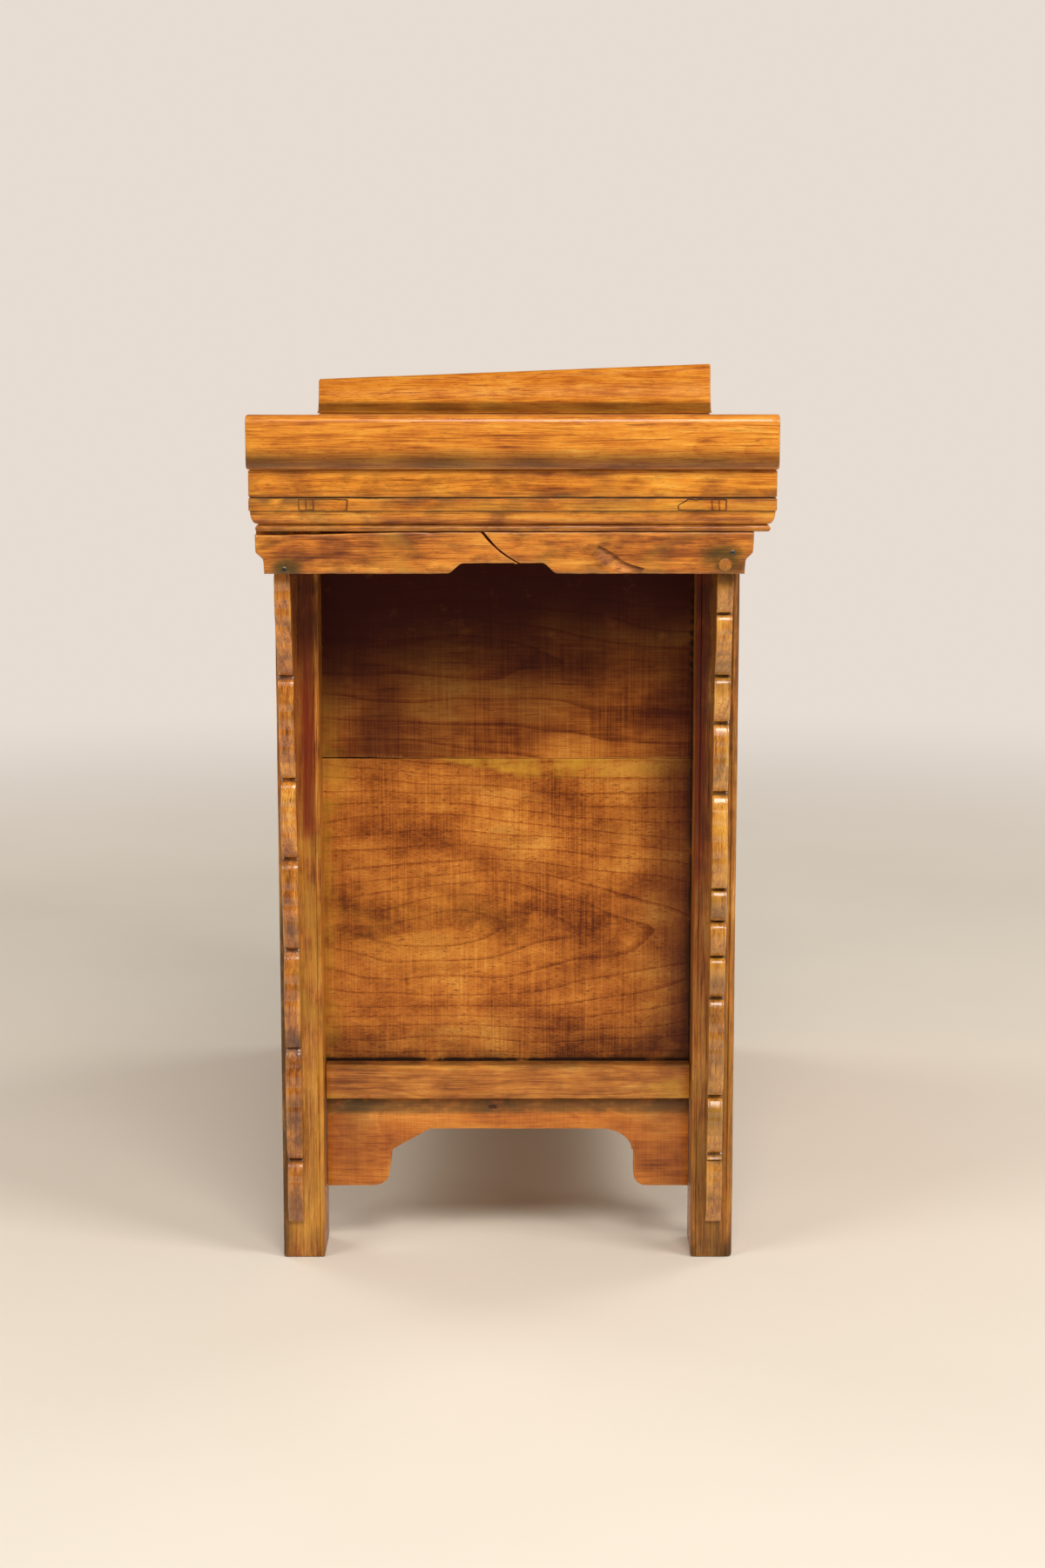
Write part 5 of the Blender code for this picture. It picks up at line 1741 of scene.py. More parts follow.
    def fastenings(self, side: Side) -> None:
        """Builds the nail heads and the round plug of one end board.

        Args:
            side: the end they show at.
        """
        board = f"frieze_{side}"
        face, out = side.face(board), side.sign * MM
        heads = ((0.6, -3.0), (0.7, -0.6), (1.0, -0.5), (1.0, -0.1), (0.8, 0.25), (0.4, 0.4), (0.1, 0.42))
        for place, spot in (("front", self.front_nail), ("back", self.back_nail)):
            shape = Shape()
            profile = [(self.nail * radius, out * height) for radius, height in heads]
            turned(shape, profile, Axis.X, Vector((face, *spot)))
            name = f"nail_{place}_{side}"
            make_piece(shape, name, DARK_NAIL.material(name), Slot.BRASS)
        rims = ((0.95, -5.0), (1.0, -0.4), (0.97, 0.05), (0.9, 0.25), (0.5, 0.32), (0.1, 0.3))
        shape = Shape()
        profile = [(self.plug * radius, out * height) for radius, height in rims]
        turned(shape, profile, Axis.X, Vector((face, *self.plug_place)), 28)
        name = f"plug_{side}"
        finish = FRIEZE_ELM.material(board, Axis.X, name)
        make_piece(shape, name, finish, Slot.TOP, patina=lambda p: (0.2, 0.5, 0.0, 0.2))


@dataclass
class LegFrames:
    """The four recessed legs, and the lobed spandrels that stand on their end faces."""

    leg_wear: Wear = Wear(arris=1.4 * MM, nick=1.8 * MM, wave=0.6 * MM, end=2.6 * MM)
    spandrel_wear: Wear = Wear(arris=1.1 * MM, nick=1.4 * MM, wave=0.8 * MM, end=1.0 * MM)
    groove_inset: float = 5.2 * MM
    groove_width: float = 1.3 * MM
    groove_depth: float = 0.9 * MM
    lap: float = 0.3 * MM
    neck_lap: float = 2 * MM
    neck_drop: float = 0.022
    notch_turn: float = math.radians(24)
    notch_more: float = 5.5 * MM
    notch_lip: float = 1.2 * MM
    notch_floor: float = 2.8 * MM
    notch_slope: float = 13 * MM
    lobe_bulge: float = 3.0 * MM
    lobe_parts: int = 6
    joint_height: float = 0.110
    joint_gap: float = 0.35 * MM
    line_inset: float = 8.0 * MM
    line_width: float = 1.8 * MM
    line_depth: float = 1.5 * MM
    pillow: float = 0.8 * MM
    pillow_reach: float = 8.0 * MM
    scroll_heights: tuple[float, ...] = (0.690, 0.628, 0.575, 0.500, 0.410)
    scroll_radii: tuple[float, ...] = (0.020, 0.012, 0.014, 0.011, 0.013)
    scroll_turns: float = 1.6
    scroll_steps: int = 60
    swell: float = 1.2 * MM

    def build(self) -> None:
        """Builds each corner's leg and spandrel."""
        for place in ("front", "back"):
            for side in Side:
                self.leg(place, side)
                self.spandrel(place, side)

    def section(self, name: str, place: str, side: Side) -> list[Corner]:
        """A leg's section, with a scratched line near the inner edge of its end face.

        Args:
            name: the leg's node.
            place: front or back.
            side: the end it stands at.

        Returns:
            Corners with their rounding.
        """
        low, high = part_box(name)
        face = side.face(name)
        inner, inward = (high.y, -1) if place == "front" else (low.y, 1)
        groove = [
            (face, inner + inward * (self.groove_inset - self.groove_width / 2)),
            (face - side.sign * self.groove_depth, inner + inward * self.groove_inset),
            (face, inner + inward * (self.groove_inset + self.groove_width / 2)),
        ]
        result: list[Corner] = []
        for first, second in sides(outline_of(name, Axis.Z, False)):
            result.append((*first, 0.0))
            if abs(first[0] - face) < NEAR and abs(second[0] - face) < NEAR:
                ordered = sorted(groove, key=lambda p: abs(p[1] - first[1]))
                result.extend((a, b, 0.0) for a, b in ordered)
        return result

    def leg(self, place: str, side: Side) -> None:
        """Builds one leg: full up to the frieze, and a slighter neck behind it.

        Args:
            place: front or back.
            side: the end it stands at.
        """
        name = f"leg_{place}_{side}"
        low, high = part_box(name)
        frieze_low, frieze_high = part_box(f"frieze_{place}")
        shape = Shape()
        ends = (low.z, frieze_low.z - self.lap)
        swept(shape, self.section(name, place, side), Axis.Z, ends, self.leg_wear, seed_of(name), 0.010)
        near, far = low.y, high.y
        if place == "front":
            near = frieze_high.y + self.lap
        else:
            far = frieze_low.y - self.lap
        neck = rectangle(low.x, near, high.x, far, self.leg_wear.arris)
        ends = (frieze_low.z - self.neck_lap, high.z - self.neck_drop)
        swept(shape, neck, Axis.Z, ends, self.leg_wear, seed_of(name) + 1, 0.014)
        face = side.face(name)

        def patina(point: Vector) -> Marks:
            """Old glaze high on the end face, painted shadow of the overhanging top darkening the end face
            higher up, a painted shaded strip along the back leg's rear edge, dirt at the foot and bare wood
            lower down.
            """
            height = point.z
            on_end = ease(abs(point.x - face), 9 * MM, 4 * MM)
            foot = ease(height, 0.05, 0.0) * 0.5
            bare = 0.4 * patch(point, 0.07, 2.0)
            if place == "back":
                tall = ease(height, 0.444, 0.464)
                red = on_end * tall * band(point.y, 0.2055, 0.217, 2 * MM) * 0.9
                low_down = foot + 0.35 * on_end * patch(point, 0.05, 3.0)
                # Painted shade on a strip along the rear edge of the end face, low down.
                rear = on_end * ease(point.y, high.y - 5 * MM, high.y - 2 * MM) * 0.9
                rear *= ease(height, 0.42, 0.34)
                # The last term darkens the upper end face: painted shadow of the overhanging top.
                grime = max(low_down, rear, 0.65 * on_end * ease(height, 0.60, 0.72))
                return grime, max(bare, 0.55 * on_end * (1 - tall)), red, 0.0
            red = on_end * ease(height, 0.15, 0.55) * ease(point.y, -0.203, -0.197) * 0.95
            # Darker higher up the end face: painted shadow of the overhanging top, with dirt in patches.
            dirt = 0.25 + 0.3 * ease(height, 0.3, 0.6) + 0.3 * patch(point, 0.06, 4.0)
            return foot + on_end * dirt, max(bare, 0.35 * on_end * ease(height, 0.45, 0.25)), red, 0.0

        make_board(shape, "beaded", name, LEG_ELM, Axis.Z, Slot.CARCASE, patina)

    def carved_lines(self, outline: Sequence[Point2], side: Side) -> kdtree.KDTree:
        """The middle lines of the carving on a front spandrel: a border and small scrolls in the lobes.

        Args:
            outline: the spandrel's outline.
            side: the end it stands at.

        Returns:
            The lines' points, ready for a search.
        """
        points = resampled(outline, 1.5 * MM)
        foot = min(abs(a) for a, _ in points)
        lines = [
            Vector(point) - out * self.line_inset
            for point, out in zip(points, outward(points))
            if abs(point[0]) > foot + 12 * MM
        ]
        for height, radius in zip(self.scroll_heights, self.scroll_radii):
            reach = max(abs(a) for a, b in points if abs(b - height) < 0.012) - foot
            centre = Vector((side.sign * (foot + 0.45 * reach), height))
            size = min(radius, 0.30 * reach)
            for step in range(self.scroll_steps):
                angle = 2 * math.pi * self.scroll_turns * step / self.scroll_steps
                arm = size * (0.18 + 0.82 * step / self.scroll_steps)
                lines.append(centre + arm * Vector((side.sign * math.cos(angle), math.sin(angle))))
        return search_tree(lines)

    def notched(self, outline: Sequence[Point2]) -> tuple[list[Point2], list[Point2]]:
        """Deepens the notches between a spandrel's lobes and rounds the lobes.

        Args:
            outline: the solid's outline, counter-clockwise.

        Returns:
            The new outline, and the bottoms of the notches.
        """
        result, notches = [], []
        for before, point, after in neighbours(outline):
            spot = Vector(point)
            ways = [Vector(before) - spot, Vector(after) - spot]
            if ways[1].cross(ways[0]) >= 0 or (-ways[0]).angle(ways[1]) < self.notch_turn:
                result.append(point)
                continue
            out = (ways[0].normalized() + ways[1].normalized()).normalized()
            below, above = sorted(ways, key=lambda way: way.y)
            chance = ripple(spot.to_3d(), 0.02, 5.0)
            slope = self.notch_slope * (1 + chance) if chance > 0 else 2 * self.notch_floor
            deep = self.notch_more * (0.75 + 0.5 * chance)
            steps = [
                spot + below * min(0.45, slope / below.length),
                spot + below * min(0.2, self.notch_floor / below.length) - out * 0.8 * deep,
                spot - out * deep,
                spot + above.normalized() * self.notch_lip + out * self.notch_lip / 2,
            ]
            notches.extend((place.x, place.y) for place in steps[1:3])
            result.extend((place.x, place.y) for place in (steps if below is ways[0] else steps[::-1]))
        return softened(self.bulged(result, notches)), notches

    def bulged(self, outline: Sequence[Point2], notches: Sequence[Point2]) -> list[Point2]:
        """Bows out the free, upright sides of a spandrel's lobes.

        Args:
            outline: the outline with its notches.
            notches: the bottoms of the notches.

        Returns:
            The outline with bowed sides.
        """
        foot = min(abs(a) for a, _ in outline) + 6 * MM
        bowed = []
        for first, second in sides(outline):
            bowed.append(first)
            way = Vector(second) - Vector(first)
            cut = first in notches or second in notches or way.length < 9 * MM
            if cut or min(abs(first[0]), abs(second[0])) < foot or abs(way.x) > abs(way.y):
                continue
            out = Vector((way.y, -way.x)).normalized() * min(self.lobe_bulge, 0.08 * way.length)
            for step in range(1, self.lobe_parts):
                bow = out * math.sin(math.pi * step / self.lobe_parts)
                spot = Vector(first).lerp(Vector(second), step / self.lobe_parts) + bow
                bowed.append((spot.x, spot.y))
        return bowed

    def spandrel(self, place: str, side: Side) -> None:
        """Builds one spandrel in two lengths, pieced near the foot; the front ones are carved.

        Args:
            place: front or back.
            side: the end it stands at.
        """
        name = f"spandrel_{place}_{side}"
        seed = seed_of(name)
        outline, notches = self.notched(outline_of(name, Axis.Y, place == "back"))
        low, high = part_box(name)
        points = resampled(outline, 2 * MM)
        edge = search_tree(points)
        foot = min(abs(a) for a, _ in points)
        bottoms = search_tree(notches)
        lines = self.carved_lines(outline, side)

        def shaped(a: float, b: float) -> float:
            """How far a face falls towards its edge, and from true."""
            free = ease(abs(a), foot + 2 * MM, foot + 10 * MM)
            soft = self.pillow * (1 - min(1.0, distance(edge, a, b) / self.pillow_reach)) ** 2 * free
            return soft + 0.5 * MM * (1 + ripple(Vector((a, b, 0.0)), 0.04, seed))

        def carved(a: float, b: float) -> float:
            """The same, with the carved lines."""
            line = ease(distance(lines, a, b), self.line_width, 0.3 * self.line_width)
            return shaped(a, b) + self.line_depth * line

        cuts = (carved, shaped) if place == "front" else (shaped, shaped)
        faces = (low.y - self.swell, high.y + self.swell)
        shape = Shape()
        for sign in (-1, 1):
            part = clipped(outline, (0.0, self.joint_height + sign * self.joint_gap), (0.0, float(sign)))
            sawn(shape, part, Axis.Y, faces, self.spandrel_wear, seed, 0.0028, cuts, 5)
        shares = (0.5, 0.4, 0.8, 0.15) if place == "front" else (0.65, 0.3, 0.35, 0.0)

        def patina(point: Vector) -> Marks:
            """Painted shade in the notches, dirt at the joint and in streaks, red glaze in patches, and bare
            wood.
            """
            level = Vector((0.2 * point.x, 0.2 * point.y, point.z))
            streak = ease(ripple(level, 0.035, seed), 0.05, 0.6)
            joint = band(point.z, self.joint_height - 2 * MM, self.joint_height + 2 * MM, 4 * MM)
            # Painted shade in the notches, under each lobe's lip.
            notch_shade = ease(distance(bottoms, point.x, point.z), 2.4 * MM, 0.9 * MM)
            low_down = 0.12 * ease(point.z, 0.45, 0.30)
            flat = Vector((0.1 * point.x, 0.1 * point.y, point.z))
            red = 0.5 * ease(ripple(flat, 0.04, seed + 2), 0.15, 0.5)
            pale = max(0.0, -ripple(level, 0.05, 3.0))
            dirt = shares[0] * streak + shares[1] * joint + low_down
            return max(0.9 * notch_shade, dirt), shares[2] * pale + shares[3], red, 0.0

        finish = CARVED_ELM if place == "front" else SPANDREL_ELM
        make_board(shape, "lobed", name, finish, Axis.Z, Slot.CARCASE, patina)


@dataclass
class EndPanel:
    """One end between its legs: a panel of two boards, the rail under it and the arched apron under that."""

    side: Side
    panel_wear: Wear = Wear(arris=0.15 * MM, nick=0.0, wave=0.5 * MM, end=0.8 * MM)
    rail_wear: Wear = Wear(arris=1.6 * MM, nick=1.4 * MM, wave=0.5 * MM, end=0.8 * MM)
    apron_wear: Wear = Wear(arris=1.6 * MM, nick=0.9 * MM, wave=0.4 * MM, end=0.8 * MM)
    eye: Point2 = (0.10, 0.342)
    eye_lean: float = math.radians(11)
    arch_shift: float = 8 * MM
    arch_spring: float = 40 * MM
    arch_crown: float = 63 * MM
    arch_slope: float = 40 * MM
    knot: Point2 = (0.022, 0.152)
    seam: float = 0.5265
    seam_open: float = 1.1 * MM
    rail_fall: float = 3.6 * MM
    mark_pitch: float = 4 * MM

    def build(self) -> None:
        """Builds the panel, the rail and the apron."""
        self.panel()
        self.rail()
        self.apron()

    def opening(self) -> Point2:
        """Where the opening between the legs begins and ends on Y."""
        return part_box(f"leg_front_{self.side}")[1].y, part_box(f"leg_back_{self.side}")[0].y

    def marked_points(self, low: float, high: float, front: float, sill: float) -> list[Point2]:
        """More points along the panel's seam, its foot and its front edge, where the marks are fine.

        Args:
            low: the panel's lowest Y.
            high: its highest Y.
            front: where the front leg ends.
            sill: height of the rail's top.

        Returns:
            The points.
        """
        pitch = self.mark_pitch
        columns = [low + column * pitch for column in range(int((high - low) / pitch))]
        rows = [sill + row * pitch for row in range(2, int((self.seam - sill) / pitch) + 20)]
        beside = (-22, -17, -12, -8, -4.5, -1.5, 1.5, 4.5)
        above = (0.6, 2.2, 3.8)
        seam = [(column, self.seam + away * MM) for column in columns for away in beside]
        foot = [(column, sill + away * MM) for column in columns for away in above]
        return seam + foot + [(front + away * MM, row) for row in rows for away in above]

    def panel(self) -> None:
        """Builds the panel: two boards whose seam opens towards the back."""
        name = f"side_panel_{self.side}"
        low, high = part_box(name)
        front, back = self.opening()
        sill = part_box(f"side_rail_{self.side}")[1].z - self.rail_fall
        outline = resampled(outline_of(name, Axis.X, self.side is Side.RIGHT), 0.012)
        lower, upper = (clipped(outline, (0.0, self.seam), (0.0, way)) for way in (-1.0, 1.0))
        upper = [
            (a, b + self.seam_open * ease(a, 0.10, 0.16) if b < self.seam + 1 * MM else b)
            for a, b in resampled(upper, 0.012)
        ]
        dense = self.marked_points(low.y, high.y, front, sill)
        shape = Shape()
        for part in (lower, upper):
            sawn(shape, part, Axis.X, (low.x, high.x), self.panel_wear, seed_of(name), 0.0055, dense=dense)
            shape.change_finish()
        eye = Eye((self.side.face(name), *self.eye), self.eye_lean)
        finishes = [
            PANEL_ELM.material(name, Axis.Y, f"{name}_lower", eye),
            PANEL_ELM.material(name, Axis.Y, f"{name}_top"),
        ]

        def patina(point: Vector) -> Marks:
            """Dirt and painted shade along the edges and in the gaps at the rail and the front leg, red glaze
            with painted shadow of the overhanging top above, painted shade beside the front leg, more red
            glaze to the left above the seam, and bare filler below the seam.
            """
            y, z = point.y, point.z
            up = z - sill
            wander = 3 * MM * ripple(point, 0.05, 6.0)
            # Dirt and painted shade along the front and back edges, lower down.
            rim = max(ease(y - front + wander, 9 * MM, 2 * MM), ease(back - y + wander, 7 * MM, 1 * MM) * 0.4)
            floor = ease(up + wander, 10 * MM, 3 * MM)
            corner = max(ease(math.hypot(away, up), 0.045, 0.01) for away in (y - front, back - y))
            # Painted shadow in the gaps above the rail and beside the front leg, with some dirt.
            gap_shade_and_dirt = max(ease(up + 0.2 * wander, 4.4 * MM, 2.2 * MM), ease(y - front, 2.6 * MM, 1.0 * MM))
            darker_near_rail = 0.4 * ease(up + 4 * wander, 62 * MM, 6 * MM)
            grime = max(0.75 * rim * ease(z, 0.60, 0.50), 0.7 * floor, 0.8 * corner, 1.5 * gap_shade_and_dirt, darker_near_rail)
            drip = ripple(Vector((0.0, y, 0.4 * z)), 0.05, 2.0)
            # Red glaze with painted shadow of the overhanging top over the upper part, its edge sloping
            # across the panel.
            red = ease(z + 0.16 * y + 0.02 * drip, 0.515, 0.70) ** 0.8
            # Painted shade beside the front leg, in the glaze colour.
            red = max(red, 0.8 * ease(y - front + 6 * wander, 70 * MM, 4 * MM))
            if z > self.seam:
                left = ease(y + 0.04 * drip, -0.04, 0.14) * ease(back - y + 5 * wander, 0.0, 50 * MM)
                red = max(red, 0.8 * left * (0.8 + 0.4 * ripple(point, 0.05, 4.0)))
            thick = 19 * MM * ease(y, 0.085, -0.01) * (0.8 + 0.3 * ripple(Vector((y, 0.0, 0.0)), 0.04, 1.0))
            filler = band(z, self.seam - thick, self.seam - 1 * MM, 3 * MM) * ease(y, 0.09, 0.06)
            filler *= 1 - 0.55 * ease(y, -0.06, -0.12)
            strip = ease(back - y + 5 * wander, 24 * MM, 4 * MM) * ease(z, 0.66, 0.55)
            strip *= 0.75 + 0.6 * ripple(point, 0.04, 7.0)
            round_eye = math.hypot((y - self.eye[0]) / 0.15, (z - self.eye[1]) / 0.075)
            bare = max(0.95 * filler, 0.7 * strip, 0.15 * ease(round_eye, 1.0, 0.3))
            return grime, bare, 0.98 * red, 0.0

        make_piece(shape, f"boarded_{name}", finishes, Slot.PANEL, nodes=[name], patina=patina)

    def rail(self) -> None:
        """Builds the rail under the panel, between the legs."""
        name = f"side_rail_{self.side}"
        low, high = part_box(name)
        start, end = self.opening()
        start, end = start + FIT, end - FIT
        top = high.z - self.rail_fall
        section = rectangle(low.x, low.z, high.x, top, self.rail_wear.arris)
        shape = Shape()
        swept(shape, section, Axis.Y, (start, end), self.rail_wear, seed_of(name), 0.007)

        def patina(point: Vector) -> Marks:
            """Darker along the top and at the ends, and long bare patches."""
            crest = ease(point.z, top - 1.8 * MM, top - 0.6 * MM)
            tips = ease(min(point.y - start, end - point.y), 0.8 * MM, 0.4 * MM)
            worn = ease(ripple(Vector((point.x, 0.35 * point.y, point.z)), 0.03, 2.0), 0.1, 0.55)
            return max(0.7 * crest, tips, 0.2 * patch(point, 0.04, 5.0)), 0.95 * worn, 0.0, 0.0

        make_board(shape, "worn", name, RAIL_ELM, Axis.Y, Slot.CARCASE, patina)

    def apron(self) -> None:
        """Builds the apron with its shouldered arch, which slopes at the back."""
        name = f"side_apron_{self.side}"
        low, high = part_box(name)
        outline = [
            (a - self.arch_shift * ease(a, 0.03, 0.09) * ease(a, 0.16, 0.135), b)
            for a, b in outline_of(name, Axis.X, self.side is Side.RIGHT)
        ]
        spring, crown = low.z + self.arch_spring, low.z + self.arch_crown
        wall = max(a for a, b in outline if spring + 1 * MM < b < crown - 1 * MM)
        sloped = []
        for a, b in outline:
            on_slope = a > 0 and spring < b < crown + 1 * MM
            sloped.append((wall - self.arch_slope * (b - spring) / (crown - spring) if on_slope else a, b))
        dense = [
            (self.knot[0] + across * 2 * MM, self.knot[1] + up * 1.5 * MM)
            for across in range(-4, 5)
            for up in range(-3, 4)
        ]
        faces = (low.x, high.x)
        shape = Shape()
        sawn(shape, softened(sloped), Axis.X, faces, self.apron_wear, seed_of(name), 0.0055, dense=dense)
        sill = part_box(f"side_rail_{self.side}")[0].z

        def patina(point: Vector) -> Marks:
            """Olive stain with painted shadow of the rail along the top, a dark knot, and dirt towards the
            legs.
            """
            # Olive stain with painted shadow of the rail along the top of the apron.
            olive_stain_and_rail_shadow = ease(point.z, sill - 21 * MM, sill - 15 * MM) * (0.75 + 0.3 * ripple(point, 0.05, 3.0))
            away = math.hypot(point.y - self.knot[0], 2 * (point.z - self.knot[1]))
            tips = ease(abs(point.y - 0.006), 0.10, 0.18) * (0.3 + 0.35 * ripple(point, 0.035, 8.0))
            return max(1.5 * ease(away, 6.5 * MM, 3.5 * MM), 0.8 * tips), 0.0, 0.0, olive_stain_and_rail_shadow

        make_board(shape, "arched", name, APRON_ELM, Axis.Y, Slot.CARCASE, patina)


def handled(point: Vector) -> Marks:
    """Grime in patches and honey-coloured rubbed ones, as on the doors' frames."""
    return 0.3 * patch(point, 0.05, 5.0), 0.4 * patch(point, 0.08, 2.0), 0.0, 0.0


@dataclass
class FrontAndBack:
    """The rails and apron of the front, the boarded back, and the boards inside."""

    rail_wear: Wear = Wear(arris=1.5 * MM, nick=1.2 * MM, wave=0.4 * MM, end=0.6 * MM)
    board_wear: Wear = Wear(arris=0.9 * MM, nick=0.8 * MM, wave=0.5 * MM, end=0.8 * MM)
    back_seams: Point2 = (0.392, 0.588)

    def build(self) -> None:
        """Builds the front's and back's pieces and dresses the inner boards."""
        for name in ("front_middle_rail", "front_bottom_rail", "back_rail"):
            self.rail(name)
        self.apron()
        self.back()
        dress_solid("drawer_deck", BARE_ELM, Axis.X)
        dress_solid("floor_board", BARE_ELM, Axis.X)
        dress_solid("drawer_divider", CARCASE_ELM, Axis.Z)
        dress_solid("top_batten", BARE_ELM, Axis.Y)

    def rail(self, name: str) -> None:
        """Builds one rail between the legs.

        Args:
            name: the rail's node.
        """

        def patina(point: Vector) -> Marks:
            """Patches of grime and of bare wood."""
            return 0.3 * patch(point, 0.06, 5.0), 0.5 * patch(point, 0.08, 2.0), 0.0, 0.0

        ends = (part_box("leg_front_left")[1].x + FIT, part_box("leg_front_right")[0].x - FIT)
        shape = bar(name, Axis.X, self.rail_wear, 0.010, ends)
        make_board(shape, "worn", name, CARCASE_ELM, Axis.X, Slot.CARCASE, patina)

    def apron(self) -> None:
        """Builds the front apron with its shouldered arch."""
        name = "front_apron"
        low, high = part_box(name)
        outline = softened(outline_of(name, Axis.Y, False))
        shape = Shape()
        sawn(shape, outline, Axis.Y, (low.y, high.y), self.rail_wear, seed_of(name), 0.007)

        def patina(point: Vector) -> Marks:
            """Darker along the top, under the rail."""
            return 0.5 * ease(point.z, high.z - 12 * MM, high.z - 2 * MM), 0.0, 0.0, 0.0

        make_board(shape, "arched", name, FACE_ELM, Axis.X, Slot.CARCASE, patina)

    def back(self) -> None:
        """Builds the back panel from three boards."""
        name = "back_panel"
        low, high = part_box(name)
        outline = outline_of(name, Axis.Y, True)
        shape = Shape()
        for bottom, top in zip((low.z, *self.back_seams), (*self.back_seams, high.z)):
            part = clipped(outline, (0.0, bottom + 0.3 * MM), (0.0, 1.0))
            part = clipped(part, (0.0, top - 0.3 * MM), (0.0, -1.0))
            sawn(shape, part, Axis.Y, (low.y, high.y), self.board_wear, seed_of(f"back{bottom:.3f}"), 0.014)

        def patina(point: Vector) -> Marks:
            """Dirt along the frame, bare patches, and red glaze near the top."""
            rim = max(ease(abs(point.x), 0.33, 0.368), ease(point.z, 0.25, 0.205), ease(point.z, 0.70, 0.735))
            return 0.6 * rim, 0.3 * patch(point, 0.15, 3.0), 0.4 * ease(point.z, 0.62, 0.72), 0.0

        make_board(shape, "boarded", name, FACE_ELM, Axis.X, Slot.PANEL, patina)


@dataclass(frozen=True)
class Plate:
    """A thin brass plate of any outline, held by round pins."""

    wear: Wear = Wear(arris=0.35 * MM, nick=0.0, wave=0.08 * MM, end=0.3 * MM)
    thickness: float = 1.4 * MM
    pin_steps: int = 14

    def build(self, name: str, pitch: float, rim: Level) -> tuple[Shape, float]:
        """Cuts the plate from a solid's outline.

        Args:
            name: the solid's name.
            pitch: the usual distance between points.
            rim: how deep each point of its front lies below the rim.

        Returns:
            The mesh, and where its front lies on Y.
        """
        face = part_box(name)[1].y
        shape = Shape()
        outline = softened(outline_of(name, Axis.Y, True))
        faces = (face - self.thickness, face)
        sawn(shape, outline, Axis.Y, faces, self.wear, seed_of(name), pitch, (rim, uncut), 1)
        return shape, faces[0]

    def pin(self, shape: Shape, profile: Sequence[Point2], centre: Vector) -> None:
        """Sets the head of one pin, its profile given in millimetres, towards the front."""
        turned(shape, [(r * MM, h * MM) for r, h in profile], Axis.Y, centre, self.pin_steps)


